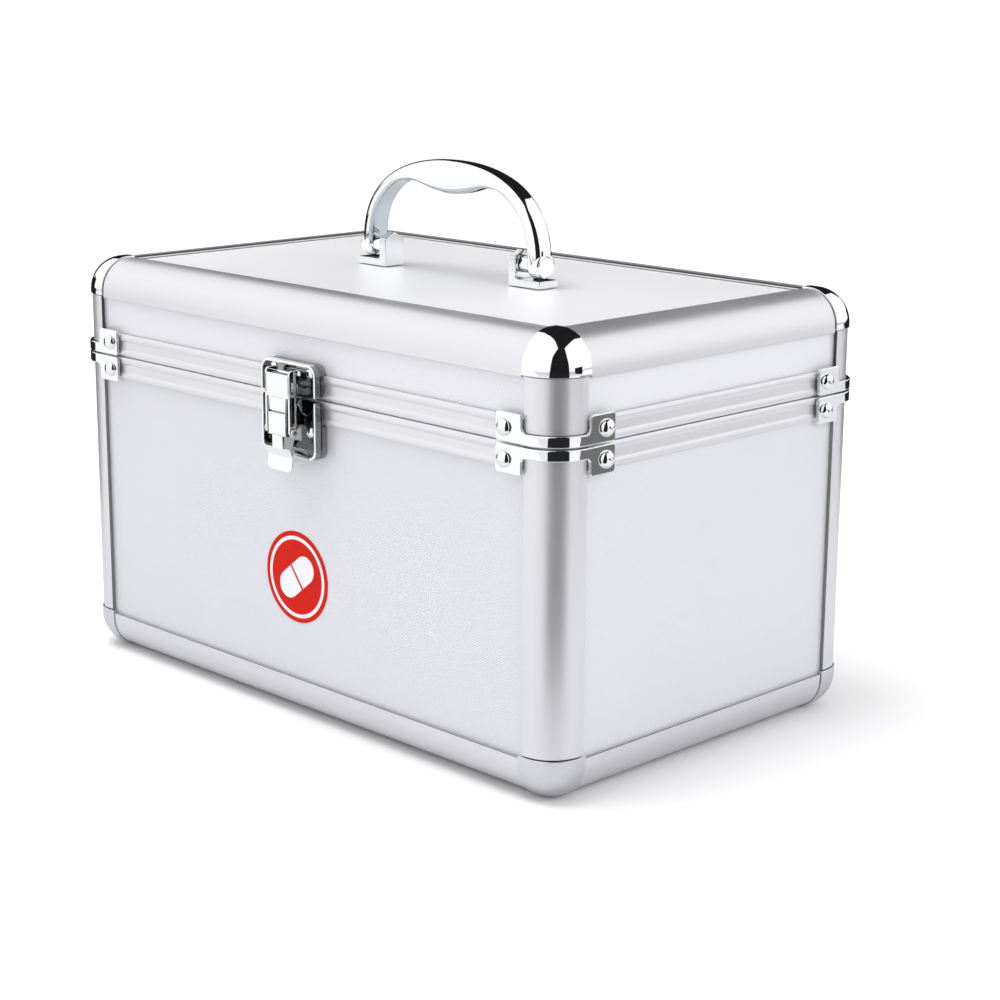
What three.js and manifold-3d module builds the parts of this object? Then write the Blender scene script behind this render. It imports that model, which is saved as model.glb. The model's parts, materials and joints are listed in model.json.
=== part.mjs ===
// A small medicine case: board panels in satin aluminium extrusions, a lid on a
// strip hinge, a draw latch at the front and a swinging carrying handle on top.
// Millimetres, +X to the right, +Y to the rear, +Z up, standing on its corner caps.
import * as THREE from "three";
import { mergeVertices } from "three/addons/utils/BufferGeometryUtils.js";
import Module from "manifold-3d";

const wasm = await Module();
wasm.setup();

// Overall sizes of the closed case, over its extrusions
const case_length = 250;
const case_width = 153;
const case_height = 151;
const lid_height = 35;
const split_height = case_height - lid_height;

// Clearances and the overrun that every cut shares
const fit_gap = 0.3;
const split_gap = 0.3;
const overrun = 1;
const weld = 0.0001;

// Frame extrusion: a quarter round with a slot for each board and two ports
const corner_radius = 12;
const frame_leg = 14;
const frame_wall = 1.2;
const inner_wall = 1.2;
const port_near = 7.2;
const port_far = 10.5;
const port_outer = 2.2;
const port_inner = 4.4;
const arc_steps = 10;

// Boards and lining
const board_thickness = 3;
const liner_thickness = 1.5;
const board_recess = frame_wall + fit_gap;
const slot_far = board_recess + board_thickness + fit_gap;
const slot_end = corner_radius - fit_gap;
const frame_depth = slot_far + inner_wall;
const liner_depth = frame_depth + fit_gap;

// Cast corner caps
const cap_reach = 15;
const lid_cap_height = 13.2;
const base_cap_height = 15;
const cap_proud = 0.5;
const spigot_length = 6;
const ball_steps = 8;

// Rim that closes each half at the split
const rim_height = 8.5;
const rim_flange = 3.5;
const bead_height = 2.8;
const bead_depth = 0.5;
const rim_corner_setback = 0.6;
const rim_corner_lap = 2;
const bead_steps = 4;

// Wrap-round corner braces and their rivets
const brace_reach = 25;
const brace_height = 9.4;
const brace_band = 3.65;
const brace_thickness = 1.2;
const brace_rounding = 1;
const brace_cut_edge = 13.7;
const brace_rivet_place = 20.9;
const brace_rivet_radius = 2.9;
const brace_rivet_height = 2.2;
const rivet_sides = 10;
const rivet_rings = 3;

// Carrying handle
const handle_half_span = 46.3;
const handle_rise = 33.5;
const handle_exponent_share = 2.3;
const handle_leg = 5.6;
const handle_depth = 9.2;
const handle_bevel = 2;
const handle_bevel_steps = 2;
const handle_boss_radius = 3.2;
const handle_pivot_height = 8;
const handle_steps = 30;
const grip_spline_steps = 26;
const end_sides = 16;
// The finger grip under the handle: shares of its half span and of its rise
const grip_line_shares = [
  [0.85, 0.28],
  [0.775, 0.5],
  [0.6, 0.7],
  [0.4, 0.745],
  [0.18, 0.67],
  [0, 0.64],
];

// Handle brackets and pins
const bracket_setback = 14.3;
const bracket_inner = handle_half_span - bracket_setback;
const bracket_post = 3.6;
const bracket_foot_reach = 15.4;
const bracket_foot = 2.7;
const bracket_width = 9.3;
const bracket_shoulder = 10.3;
const bracket_peak = 12.7;
const handle_pin_radius = 1.8;
const handle_pin_depth = 2.6;

// Draw latch, seen from the front: places are from its own centre line
const latch_centre = 2;
const plate_half_width = 14.5;
const plate_wall = 1.2;
const plate_depth = 3.3;
const plate_corner = 4;
const catch_bottom_clearance = 0.9;
const catch_height = 11.2;
const base_plate_clearance = 0.5;
const base_plate_height = 20.3;
const latch_rivet_place = 9.4;
const catch_rivet_rise = 8.1;
const base_rivet_drop = 10.9;
const latch_rivet_radius = 1.9;
const latch_rivet_height = 0.9;
const lever_pivot_drop = 1.2;
const lever_pivot_out = 3.6;
const lever_barrel = 1.7;
const lug_inner = 6.8;
const lug_thickness = 1.2;
const lever_pin_radius = 0.9;
const loop_pivot_drop = 10;
const loop_pivot_out = 6.5;
const loop_pin_radius = 0.9;
const loop_pin_head = 1.5;
const loop_pin_head_thickness = 0.6;
const lever_half_width = 5.2;
const lever_sheet = 0.9;
const lever_front = 8.4;
const lever_skin_length = 13.3;
const lever_neck_half_width = 2.7;
const lever_neck_length = 4.2;
const lever_tab_half_width = 6.6;
const lever_tab_slope = 3.3;
const lever_tab_setback = 1.2;
const lever_tab_length = 8.2;
const lever_tab_flare = 0.7;
const loop_half_width = 6.5;
const loop_arm = 0.95;
const loop_slot_rise = 2.6;
const loop_slot_length = 15.2;
const loop_slot_half_width = 0.75;
const loop_strip_inner = 4.9;
const loop_front = 8.1;
const loop_top_inner = 3;
const loop_plate = 0.9;
const loop_plate_height = 8;
const loop_top = 10;
const crossbar_radius = 0.9;
const crossbar_out = 4.1;
const crossbar_height = 8;
const hook_half_width = 4;
const hook_shelf = 1.5;
const hook_lip_inner = 6.05;
const hook_lip = 0.8;
const hook_lip_rise = 0.7;
const small_steps = 4;
const round_sides = 12;

// Strip hinge across the rear
const hinge_brace_clearance = 4;
const hinge_length = case_length - 2 * (brace_reach + hinge_brace_clearance);
const leaf_height = 8.2;
const leaf_thickness = 1;
const hinge_pin_out = 3.8;
const knuckle_radius = 2.1;
const hinge_pin_radius = 1;
const knuckle_count = 9;
const knuckle_gap = 0.4;
const knuckle_web = 1.7;
const leaf_rivet_radius = 1.9;
const leaf_rivet_height = 0.9;
const leaf_rivet_count = 6;
const leaf_rivet_inset = 2.5;

// Heights and half sizes that follow from these
const half_length = case_length / 2;
const half_width = case_width / 2;
const rim_bottom = split_height + split_gap / 2;
const rim_top = split_height + rim_height;
const flange_top = rim_bottom + rim_flange;
const panel_edge_x = half_length - corner_radius;
const panel_edge_y = half_width - corner_radius;
const post_bottom = flange_top + fit_gap;
const cap_clear = cap_reach + fit_gap;
const lid_cap_clear = lid_cap_height + fit_gap;
const base_cap_clear = base_cap_height + fit_gap;

// A closed geometry as a solid that can be joined and cut
function solidOf(geometry) {
  const bare = new THREE.BufferGeometry();
  bare.setAttribute("position", geometry.getAttribute("position"));
  if (geometry.index) bare.setIndex(geometry.index);
  const merged = mergeVertices(bare, weld);
  const kept = [];
  for (let i = 0; i < merged.index.count; i += 3) {
    const [a, b, c] = [0, 1, 2].map((k) => merged.index.getX(i + k));
    if (a !== b && b !== c && c !== a) kept.push(a, b, c);
  }
  const vertProperties = Float32Array.from(merged.getAttribute("position").array);
  const mesh = new wasm.Mesh({ numProp: 3, vertProperties, triVerts: Uint32Array.from(kept) });
  return new wasm.Manifold(mesh);
}

function geometryOf(solid) {
  const mesh = solid.getMesh();
  const geometry = new THREE.BufferGeometry();
  geometry.setAttribute("position", new THREE.BufferAttribute(mesh.vertProperties, 3));
  geometry.setIndex(new THREE.BufferAttribute(mesh.triVerts, 1));
  return geometry;
}

const joined = (...pieces) => pieces.map(solidOf).reduce((sum, piece) => sum.add(piece));

const cutFrom = (solid, ...tools) => tools.reduce((left, tool) => left.subtract(solidOf(tool)), solid);

// The directions in which an outline's own x and y are laid
const lay = {
  plan: [new THREE.Vector3(1, 0, 0), new THREE.Vector3(0, 1, 0)],
  alongX: [new THREE.Vector3(0, 1, 0), new THREE.Vector3(0, 0, 1)],
  alongFrontToX: [new THREE.Vector3(0, -1, 0), new THREE.Vector3(0, 0, 1)],
  alongY: [new THREE.Vector3(1, 0, 0), new THREE.Vector3(0, 0, 1)],
};

// An outline pushed from start to end along the direction square to it
function prism(shape, directions, start, end, steps = small_steps) {
  const geometry = new THREE.ExtrudeGeometry(shape, {
    depth: end - start,
    bevelEnabled: false,
    curveSegments: steps,
  });
  const [across, up] = directions;
  const along = new THREE.Vector3().crossVectors(across, up);
  const matrix = new THREE.Matrix4().makeBasis(across, up, along);
  matrix.setPosition(along.multiplyScalar(start));
  return geometry.applyMatrix4(matrix);
}

function box(low, high) {
  const size = high.map((value, i) => value - low[i]);
  const middle = high.map((value, i) => (value + low[i]) / 2);
  return new THREE.BoxGeometry(...size).translate(...middle);
}

// A rod along X with its centre line at y, z
function rodX(radius, low, high, y, z, sides = round_sides) {
  const rod = new THREE.CylinderGeometry(radius, radius, high - low, sides);
  rod.rotateZ(-Math.PI / 2);
  return rod.translate((low + high) / 2, y, z);
}

function outline(points) {
  return new THREE.Shape(points.map(([x, y]) => new THREE.Vector2(x, y)));
}

// A rectangle with its own radius at each corner: low left, low right, high right, high left
function roundedRectangle(x0, y0, x1, y1, radii) {
  const [a, b, c, d] = radii;
  const shape = new THREE.Shape();
  shape.moveTo(x0 + a, y0);
  shape.lineTo(x1 - b, y0);
  if (b) shape.absarc(x1 - b, y0 + b, b, -Math.PI / 2, 0);
  shape.lineTo(x1, y1 - c);
  if (c) shape.absarc(x1 - c, y1 - c, c, 0, Math.PI / 2);
  shape.lineTo(x0 + d, y1);
  if (d) shape.absarc(x0 + d, y1 - d, d, Math.PI / 2, Math.PI);
  shape.lineTo(x0, y0 + a);
  if (a) shape.absarc(x0 + a, y0 + a, a, Math.PI, 1.5 * Math.PI);
  return shape;
}

// A domed rivet head on a face that looks along +Z, sunk a little into it
function rivetDome(radius, height) {
  const profile = [new THREE.Vector2(0, -height / 4), new THREE.Vector2(radius, -height / 4)];
  for (let i = 0; i <= rivet_rings; i++) {
    const turn = (i / rivet_rings) * (Math.PI / 2);
    profile.push(new THREE.Vector2(radius * Math.cos(turn), height * Math.sin(turn)));
  }
  profile[profile.length - 1].x = 0;
  return new THREE.LatheGeometry(profile, rivet_sides).rotateX(Math.PI / 2);
}

const facingFront = (dome, x, out, z) => dome.rotateX(Math.PI / 2).translate(x, -half_width - out, z);
const facingRear = (dome, x, out, z) => dome.rotateX(-Math.PI / 2).translate(x, half_width + out, z);
const facingRight = (dome, y, out, z) => dome.rotateY(Math.PI / 2).translate(half_length + out, y, z);

const materials = {
  extrusion: new THREE.MeshStandardMaterial({ color: 0xcfcfd6, roughness: 0.35, metalness: 0.9 }),
  board: new THREE.MeshStandardMaterial({ color: 0xc4c5d0, roughness: 0.6, metalness: 0.3 }),
  chrome: new THREE.MeshStandardMaterial({ color: 0xe4e5e8, roughness: 0.08, metalness: 1 }),
  cap: new THREE.MeshStandardMaterial({ color: 0xd4d4da, roughness: 0.3, metalness: 0.9 }),
  lining: new THREE.MeshStandardMaterial({ color: 0x2b2c30, roughness: 0.95, metalness: 0 }),
};

const case_group = new THREE.Group();

function addPiece(name, shape, material) {
  const geometry = geometryOf(shape.isBufferGeometry ? solidOf(shape) : shape);
  const mesh = new THREE.Mesh(geometry, material);
  mesh.name = name;
  case_group.add(mesh);
  return mesh;
}

const sides = { left: -1, right: 1 };
const ends = { front: -1, rear: 1 };

// Section of the frame extrusion: its outer corner is at the origin, inward is negative
function frameSection() {
  const shape = new THREE.Shape();
  shape.moveTo(-frame_leg, 0);
  shape.lineTo(-frame_leg, -frame_wall);
  shape.lineTo(-slot_end, -frame_wall);
  shape.lineTo(-slot_end, -slot_far);
  shape.lineTo(-frame_leg, -slot_far);
  shape.lineTo(-frame_leg, -frame_depth);
  shape.lineTo(-frame_depth, -frame_depth);
  shape.lineTo(-frame_depth, -frame_leg);
  shape.lineTo(-slot_far, -frame_leg);
  shape.lineTo(-slot_far, -slot_end);
  shape.lineTo(-frame_wall, -slot_end);
  shape.lineTo(-frame_wall, -frame_leg);
  shape.lineTo(0, -frame_leg);
  shape.lineTo(0, -corner_radius);
  shape.absarc(-corner_radius, -corner_radius, corner_radius, 0, Math.PI / 2);
  shape.lineTo(-frame_leg, 0);
  return shape;
}

const portRectangle = (inset) => [
  [-port_far + inset, -port_inner + inset],
  [-port_near - inset, -port_inner + inset],
  [-port_near - inset, -port_outer - inset],
  [-port_far + inset, -port_outer - inset],
];
const swapped = (points) => points.map(([x, y]) => [y, x]).reverse();

function framePorts() {
  return [outline(portRectangle(0)), outline(swapped(portRectangle(0)))];
}

// Moves an outline's origin to the place of the case's outer corner
function shifted(shape, dx, dy, steps = arc_steps) {
  const move = (points) => points.map((p) => new THREE.Vector2(p.x + dx, p.y + dy));
  const moved = new THREE.Shape(move(shape.getPoints(steps)));
  moved.holes = shape.holes.map((hole) => new THREE.Path(move(hole.getPoints(small_steps))));
  return moved;
}

function frameShape() {
  const shape = frameSection();
  shape.holes = framePorts();
  return shape;
}

// Upright posts of the base and the lid, one at each corner
function addPosts() {
  const shape = shifted(frameShape(), half_length, half_width);
  const base_top = 2 * split_height - post_bottom;
  const lid_post = prism(shape, lay.plan, post_bottom, case_height - lid_cap_clear);
  const base_post = prism(shape, lay.plan, base_cap_clear, base_top);
  for (const [end, sy] of Object.entries(ends)) {
    for (const [side, sx] of Object.entries(sides)) {
      const places = { lid: lid_post, base: base_post };
      for (const [half, geometry] of Object.entries(places)) {
        const mesh = addPiece(`${half}_post_${end}_${side}`, geometry, materials.extrusion);
        mesh.scale.set(sx, sy, 1);
      }
    }
  }
}

// Long and short edge extrusions round the top of the lid and the bottom of the base
function addEdges() {
  const long_end = half_length - cap_clear;
  const short_end = half_width - cap_clear;
  const long_shape = shifted(frameShape(), half_width, case_height);
  const short_shape = shifted(frameShape(), half_length, case_height);
  const long_edge = prism(long_shape, lay.alongX, -long_end, long_end);
  const short_edge = prism(short_shape, lay.alongY, -short_end, short_end);
  const edges = { front: [long_edge, 1, -1], rear: [long_edge, 1, 1] };
  Object.assign(edges, { left: [short_edge, -1, 1], right: [short_edge, 1, 1] });
  for (const half of ["lid", "base"]) {
    const flip = half === "base";
    for (const [name, [geometry, sx, sy]] of Object.entries(edges)) {
      const mesh = addPiece(`${half}_${name}_edge`, geometry, materials.extrusion);
      mesh.scale.set(sx, sy, flip ? -1 : 1);
      mesh.position.z = flip ? case_height : 0;
    }
  }
}

// A corner cap for the top right rear corner: a rounded block, hollow behind, with spigots
function cornerCap(height) {
  const radius = corner_radius + cap_proud;
  const reach = cap_reach + cap_proud;
  const drop = height + cap_proud;
  const rounded = roundedRectangle(-reach, -reach, 0, 0, [0, 0, radius, 0]);
  const parts = ["plan", "alongX", "alongY"].map((way) => {
    const directions = lay[way];
    const start = { plan: -drop, alongX: -reach, alongY: 0 }[way];
    const end = way === "alongY" ? reach : 0;
    return solidOf(prism(rounded, directions, start, end, ball_steps));
  });
  const ball = new THREE.SphereGeometry(radius, 4 * ball_steps, 2 * ball_steps);
  ball.rotateX(Math.PI / 2).translate(-radius, -radius, -radius);
  const corner_low = [-radius, -radius, -radius];
  const corner_high = [overrun, overrun, overrun];
  const sharp = solidOf(box(corner_low, corner_high)).subtract(solidOf(ball));
  const shell = parts.reduce((sum, part) => sum.intersect(part)).subtract(sharp);
  const inner = -cap_proud - frame_depth;
  const hollow = box([-reach - overrun, -reach - overrun, -reach - overrun], [inner, inner, inner]);
  const near = -cap_proud - frame_wall;
  const far = -cap_proud - slot_far;
  const bottom = -cap_proud - slot_end;
  const past = -reach - overrun;
  const slots = [
    box([past, past, far], [bottom, bottom, near]),
    box([past, far, past], [bottom, near, bottom]),
    box([far, past, past], [near, bottom, bottom]),
  ];
  let cap = cutFrom(shell, hollow, ...slots);
  const spigots = [outline(portRectangle(fit_gap)), outline(swapped(portRectangle(fit_gap)))];
  const start = -reach - spigot_length;
  const root = -reach + overrun;
  for (const spigot of spigots) {
    const moved = shifted(spigot, -cap_proud, -cap_proud);
    cap = cap.add(solidOf(prism(moved, lay.plan, -drop - spigot_length, -drop + overrun)));
    cap = cap.add(solidOf(prism(moved, lay.alongX, start, root)));
    cap = cap.add(solidOf(prism(moved, lay.alongY, -root, -start)));
  }
  return geometryOf(cap);
}

function addCaps() {
  const upper = cornerCap(lid_cap_height);
  const lower = cornerCap(base_cap_height);
  const x = half_length + cap_proud;
  const y = half_width + cap_proud;
  for (const [end, sy] of Object.entries(ends)) {
    for (const [side, sx] of Object.entries(sides)) {
      const lid_cap = addPiece(`lid_corner_${end}_${side}`, upper, materials.chrome);
      lid_cap.scale.set(sx, sy, 1);
      lid_cap.position.set(sx * x, sy * y, case_height + cap_proud);
      const base_cap = addPiece(`base_corner_${end}_${side}`, lower, materials.cap);
      base_cap.scale.set(sx, sy, -1);
      base_cap.position.set(sx * x, sy * y, -cap_proud);
    }
  }
}

// Flat boards that slide in the extrusions' slots
function addBoards() {
  const x = panel_edge_x;
  const y = panel_edge_y;
  const near = board_recess;
  const far = board_recess + board_thickness;
  const heights = {
    lid: [post_bottom, case_height - corner_radius],
    base: [corner_radius, 2 * split_height - post_bottom],
  };
  for (const [half, [low, high]] of Object.entries(heights)) {
    for (const [end, sy] of Object.entries(ends)) {
      const board = box([-x, half_width - far, low], [x, half_width - near, high]);
      addPiece(`${half}_${end}_panel`, board, materials.board).scale.y = sy;
    }
    for (const [side, sx] of Object.entries(sides)) {
      const board = box([half_length - far, -y, low], [half_length - near, y, high]);
      addPiece(`${half}_${side}_panel`, board, materials.board).scale.x = sx;
    }
  }
  const top = case_height - near;
  addPiece("lid_top_panel", box([-x, -y, case_height - far], [x, y, top]), materials.board);
  addPiece("base_floor_panel", box([-x, -y, near], [x, y, far]), materials.board);
}

// Padded lining trays behind the boards
function addLiners() {
  const x = half_length - liner_depth;
  const y = half_width - liner_depth;
  const t = liner_thickness;
  const lid_low = rim_bottom;
  const lid_high = case_height - liner_depth;
  const lid_outer = solidOf(box([-x, -y, lid_low], [x, y, lid_high]));
  const lid_inner = box([t - x, t - y, lid_low - overrun], [x - t, y - t, lid_high - t]);
  addPiece("lid_liner", cutFrom(lid_outer, lid_inner), materials.lining);
  const base_high = 2 * split_height - rim_bottom;
  const base_outer = solidOf(box([-x, -y, liner_depth], [x, y, base_high]));
  const base_inner = box([t - x, t - y, liner_depth + t], [x - t, y - t, base_high + overrun]);
  addPiece("base_liner", cutFrom(base_outer, base_inner), materials.lining);
}

// Section of the rim: a solid flange at the split and a lip with two beads; its face is at x = 0
function rimSection() {
  const bead_radius = (bead_height * bead_height) / (8 * bead_depth) + bead_depth / 2;
  const half_turn = Math.asin(bead_height / 2 / bead_radius);
  const shape = new THREE.Shape();
  shape.moveTo(-frame_depth, rim_bottom);
  shape.lineTo(-bead_depth, rim_bottom);
  for (const low of [rim_bottom, rim_top - bead_height]) {
    const middle = low + bead_height / 2;
    shape.lineTo(-bead_depth, low);
    shape.absarc(-bead_radius, middle, bead_radius, -half_turn, half_turn);
  }
  shape.lineTo(-frame_wall, rim_top);
  shape.lineTo(-frame_wall, flange_top);
  shape.lineTo(-slot_far, flange_top);
  shape.lineTo(-slot_far, rim_top);
  shape.lineTo(-frame_depth, rim_top);
  return shape;
}

// Where the rim turns a corner under the brace, only its flange goes round
function rimCorner() {
  const reach = frame_leg + fit_gap + rim_corner_lap;
  const shape = new THREE.Shape();
  shape.moveTo(-reach, -rim_corner_setback);
  shape.lineTo(-reach, -frame_depth);
  shape.lineTo(-frame_depth, -frame_depth);
  shape.lineTo(-frame_depth, -reach);
  shape.lineTo(-rim_corner_setback, -reach);
  shape.lineTo(-rim_corner_setback, -corner_radius);
  const radius = corner_radius - rim_corner_setback;
  shape.absarc(-corner_radius, -corner_radius, radius, 0, Math.PI / 2);
  shape.lineTo(-reach, -rim_corner_setback);
  return shape;
}

function mirrored(geometry, sx, sy) {
  const turned = geometry.clone().scale(sx, sy, 1);
  if (sx * sy > 0) return turned;
  const flat = turned.index ? turned.toNonIndexed() : turned;
  const p = flat.getAttribute("position");
  const swap = new THREE.Vector3();
  const kept = new THREE.Vector3();
  for (let i = 0; i < p.count; i += 3) {
    swap.fromBufferAttribute(p, i + 1);
    kept.fromBufferAttribute(p, i + 2);
    p.setXYZ(i + 1, kept.x, kept.y, kept.z);
    p.setXYZ(i + 2, swap.x, swap.y, swap.z);
  }
  return flat;
}

function addRims() {
  const long_end = half_length - frame_leg - fit_gap;
  const short_end = half_width - frame_leg - fit_gap;
  const section = rimSection();
  const long_shape = shifted(section, half_width, 0, bead_steps);
  const short_shape = shifted(section, half_length, 0, bead_steps);
  const long_bar = prism(long_shape, lay.alongX, -long_end, long_end);
  const short_bar = prism(short_shape, lay.alongY, -short_end, short_end);
  const corner_shape = shifted(rimCorner(), half_length, half_width);
  const corner = prism(corner_shape, lay.plan, rim_bottom, flange_top);
  const pieces = [];
  for (const sign of [-1, 1]) {
    pieces.push(mirrored(long_bar, 1, sign));
    pieces.push(mirrored(short_bar, sign, 1));
    pieces.push(mirrored(corner, 1, sign));
    pieces.push(mirrored(corner, -1, sign));
  }
  const ring = geometryOf(joined(...pieces));
  addPiece("lid_rim", ring, materials.extrusion);
  const base_rim = addPiece("base_rim", ring, materials.extrusion);
  base_rim.scale.z = -1;
  base_rim.position.z = 2 * split_height;
}

// One ear of a brace, along an outline's x from the corner at 0, with the cut round the post end
function braceEar() {
  const low = split_height + fit_gap;
  const high = low + brace_height;
  const band = low + brace_band;
  const r = brace_rounding;
  const bend = brace_cut_edge - corner_radius;
  const shape = new THREE.Shape();
  shape.moveTo(-corner_radius, low);
  shape.lineTo(-corner_radius, band);
  shape.absarc(-corner_radius, band + bend, bend, -Math.PI / 2, -Math.PI, true);
  shape.lineTo(-brace_cut_edge, high - r);
  shape.absarc(-brace_cut_edge - r, high - r, r, 0, Math.PI / 2);
  shape.lineTo(-brace_reach + r, high);
  shape.absarc(-brace_reach + r, high - r, r, Math.PI / 2, Math.PI);
  shape.lineTo(-brace_reach, low + r);
  shape.absarc(-brace_reach + r, low + r, r, Math.PI, 1.5 * Math.PI);
  shape.lineTo(-corner_radius, low);
  return shape;
}

function braceBand() {
  const outer = corner_radius + fit_gap + brace_thickness;
  const inner = corner_radius + fit_gap;
  const lap = corner_radius + brace_rounding;
  const shape = new THREE.Shape();
  shape.moveTo(-lap, outer - corner_radius);
  shape.lineTo(-lap, inner - corner_radius);
  shape.lineTo(-corner_radius, inner - corner_radius);
  shape.absarc(-corner_radius, -corner_radius, inner, Math.PI / 2, 0, true);
  shape.lineTo(inner - corner_radius, -lap);
  shape.lineTo(outer - corner_radius, -lap);
  shape.lineTo(outer - corner_radius, -corner_radius);
  shape.absarc(-corner_radius, -corner_radius, outer, 0, Math.PI / 2);
  return shape;
}

function addBraces() {
  const low = split_height + fit_gap;
  const middle = low + brace_height / 2;
  const ear = braceEar();
  const out = fit_gap + brace_thickness;
  const rear_shape = shifted(ear, half_length, 0, small_steps);
  const side_shape = shifted(ear, half_width, 0, small_steps);
  const rear_ear = prism(rear_shape, lay.alongY, -half_width - out, -half_width - fit_gap);
  const side_ear = prism(side_shape, lay.alongX, half_length + fit_gap, half_length + out);
  const band_shape = shifted(braceBand(), half_length, half_width);
  const band = prism(band_shape, lay.plan, low, low + brace_band);
  const dome = () => rivetDome(brace_rivet_radius, brace_rivet_height);
  const rear_rivet = facingRear(dome(), half_length - brace_rivet_place, out, middle);
  const side_rivet = facingRight(dome(), half_width - brace_rivet_place, out, middle);
  const brace = geometryOf(joined(rear_ear, side_ear, band, rear_rivet, side_rivet));
  for (const [end, sy] of Object.entries(ends)) {
    for (const [side, sx] of Object.entries(sides)) {
      addPiece(`lid_brace_${end}_${side}`, brace, materials.chrome).scale.set(sx, sy, 1);
      const base_brace = addPiece(`base_brace_${end}_${side}`, brace, materials.chrome);
      base_brace.scale.set(sx, sy, -1);
      base_brace.position.z = 2 * split_height;
    }
  }
}

// The handle's pivots and the surface that its brackets stand on
const lid_surface = case_height - board_recess;
const bracket_base = lid_surface + fit_gap;
const handle_pivot = lid_surface + handle_pivot_height;

// Outline of the handle in the X-Z plane: an arch outside, a finger grip inside
function handleOutline() {
  const points = [];
  for (let i = 0; i <= handle_steps; i++) {
    const turn = (i / handle_steps) * Math.PI;
    const power = 2 / handle_exponent_share;
    const x = Math.sign(Math.cos(turn)) * Math.abs(Math.cos(turn)) ** power;
    const z = Math.abs(Math.sin(turn)) ** power;
    points.push([x * handle_half_span, handle_pivot + z * handle_rise]);
  }
  const leg_inner = handle_half_span - handle_leg;
  const side = grip_line_shares.map(([x, z]) => [x * handle_half_span, handle_pivot + z * handle_rise]);
  const right = [[leg_inner, handle_pivot], ...side];
  const left = right.slice(0, -1).map(([x, z]) => [-x, z]);
  const guide = [...left, ...right.reverse()].map(([x, z]) => new THREE.Vector2(x, z));
  const grip = new THREE.SplineCurve(guide).getPoints(grip_spline_steps);
  return outline([...points, ...grip.map((p) => [p.x, p.y])]);
}

function handleGrip() {
  const half = handle_depth / 2;
  const arch = new THREE.ExtrudeGeometry(handleOutline(), {
    depth: handle_depth - 2 * handle_bevel,
    bevelThickness: handle_bevel,
    bevelSize: handle_bevel,
    bevelOffset: -handle_bevel,
    bevelSegments: handle_bevel_steps,
    curveSegments: 1,
  });
  arch.translate(0, 0, -half + handle_bevel).rotateX(Math.PI / 2);
  const leg_inner = handle_half_span - handle_leg;
  const boss_end = bracket_inner + bracket_post + fit_gap;
  let grip = solidOf(arch);
  for (const sign of [-1, 1]) {
    const span = [sign * leg_inner, sign * handle_half_span].sort((a, b) => a - b);
    const end = rodX(half, span[0], span[1], 0, handle_pivot, end_sides);
    const boss_span = [sign * boss_end, sign * (leg_inner + overrun)].sort((a, b) => a - b);
    const boss = rodX(handle_boss_radius, boss_span[0], boss_span[1], 0, handle_pivot);
    const hole_end = leg_inner + handle_pin_depth + fit_gap;
    const hole_span = [sign * (boss_end - overrun), sign * hole_end].sort((a, b) => a - b);
    const hole_radius = handle_pin_radius + fit_gap;
    const hole = rodX(hole_radius, hole_span[0], hole_span[1], 0, handle_pivot);
    grip = grip.add(solidOf(end)).add(solidOf(boss)).subtract(solidOf(hole));
  }
  return grip;
}

// A bracket on the right: a gabled post with a foot that runs out under the handle's leg
function handleBracket() {
  const inner = bracket_inner;
  const half = bracket_width / 2;
  const base = bracket_base;
  const side = outline([
    [inner, base],
    [inner + bracket_foot_reach, base],
    [inner + bracket_foot_reach, base + bracket_foot],
    [inner + bracket_post, base + bracket_foot],
    [inner + bracket_post, base + bracket_peak],
    [inner, base + bracket_peak],
  ]);
  const gable = outline([
    [-half, base - overrun],
    [half, base - overrun],
    [half, base + bracket_shoulder],
    [0, base + bracket_peak],
    [-half, base + bracket_shoulder],
  ]);
  const body = solidOf(prism(side, lay.alongY, -half, half));
  const reach = inner + bracket_foot_reach + overrun;
  const gabled = body.intersect(solidOf(prism(gable, lay.alongX, inner - overrun, reach)));
  const hole_radius = handle_pin_radius + fit_gap;
  const hole = rodX(hole_radius, inner - overrun, inner + bracket_post + overrun, 0, handle_pivot);
  return geometryOf(cutFrom(gabled, hole));
}

function addHandle() {
  addPiece("handle_grip", handleGrip(), materials.chrome);
  const bracket = handleBracket();
  const pin_end = handle_half_span - handle_leg + handle_pin_depth;
  const pin = rodX(handle_pin_radius, bracket_inner, pin_end, 0, handle_pivot);
  for (const [side, sx] of Object.entries(sides)) {
    addPiece(`handle_bracket_${side}`, bracket, materials.chrome).scale.x = sx;
    addPiece(`handle_pin_${side}`, pin, materials.chrome).scale.x = sx;
  }
}

// Latch places, as heights and as distances out from the front face
const lever_pivot = split_height - lever_pivot_drop;
const loop_pivot = lever_pivot - loop_pivot_drop;
const crossbar = split_height + crossbar_height;
const catch_low = split_height + catch_bottom_clearance;
const catch_high = catch_low + catch_height;
const base_plate_high = split_height - base_plate_clearance;
const base_plate_low = base_plate_high - base_plate_height;
const lever_top = lever_pivot + lever_barrel;
const lever_skin_low = lever_top - lever_skin_length;
const plate_back = fit_gap;
const plate_floor = plate_back + plate_wall;
const plate_face = plate_back + plate_depth;

// An outline in the (out, up) plane across the latch, from x0 to x1 of its centre line
function latchPrism(points, x0, x1) {
  const shape = points instanceof THREE.Shape ? points : outline(points);
  const geometry = prism(shape, lay.alongFrontToX, -x1, -x0);
  return geometry.translate(latch_centre, -half_width, 0);
}

// A face outline pushed outwards from out0 to out1
function platePrism(shape, out0, out1) {
  return prism(shape, lay.alongY, out0, out1).translate(latch_centre, -half_width, 0);
}

const latchBox = (x, out, z) =>
  box(
    [latch_centre + x[0], -half_width - out[1], z[0]],
    [latch_centre + x[1], -half_width - out[0], z[1]],
  );

const latchRod = (radius, x0, x1, out, z) =>
  rodX(radius, latch_centre + x0, latch_centre + x1, -half_width - out, z);

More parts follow.
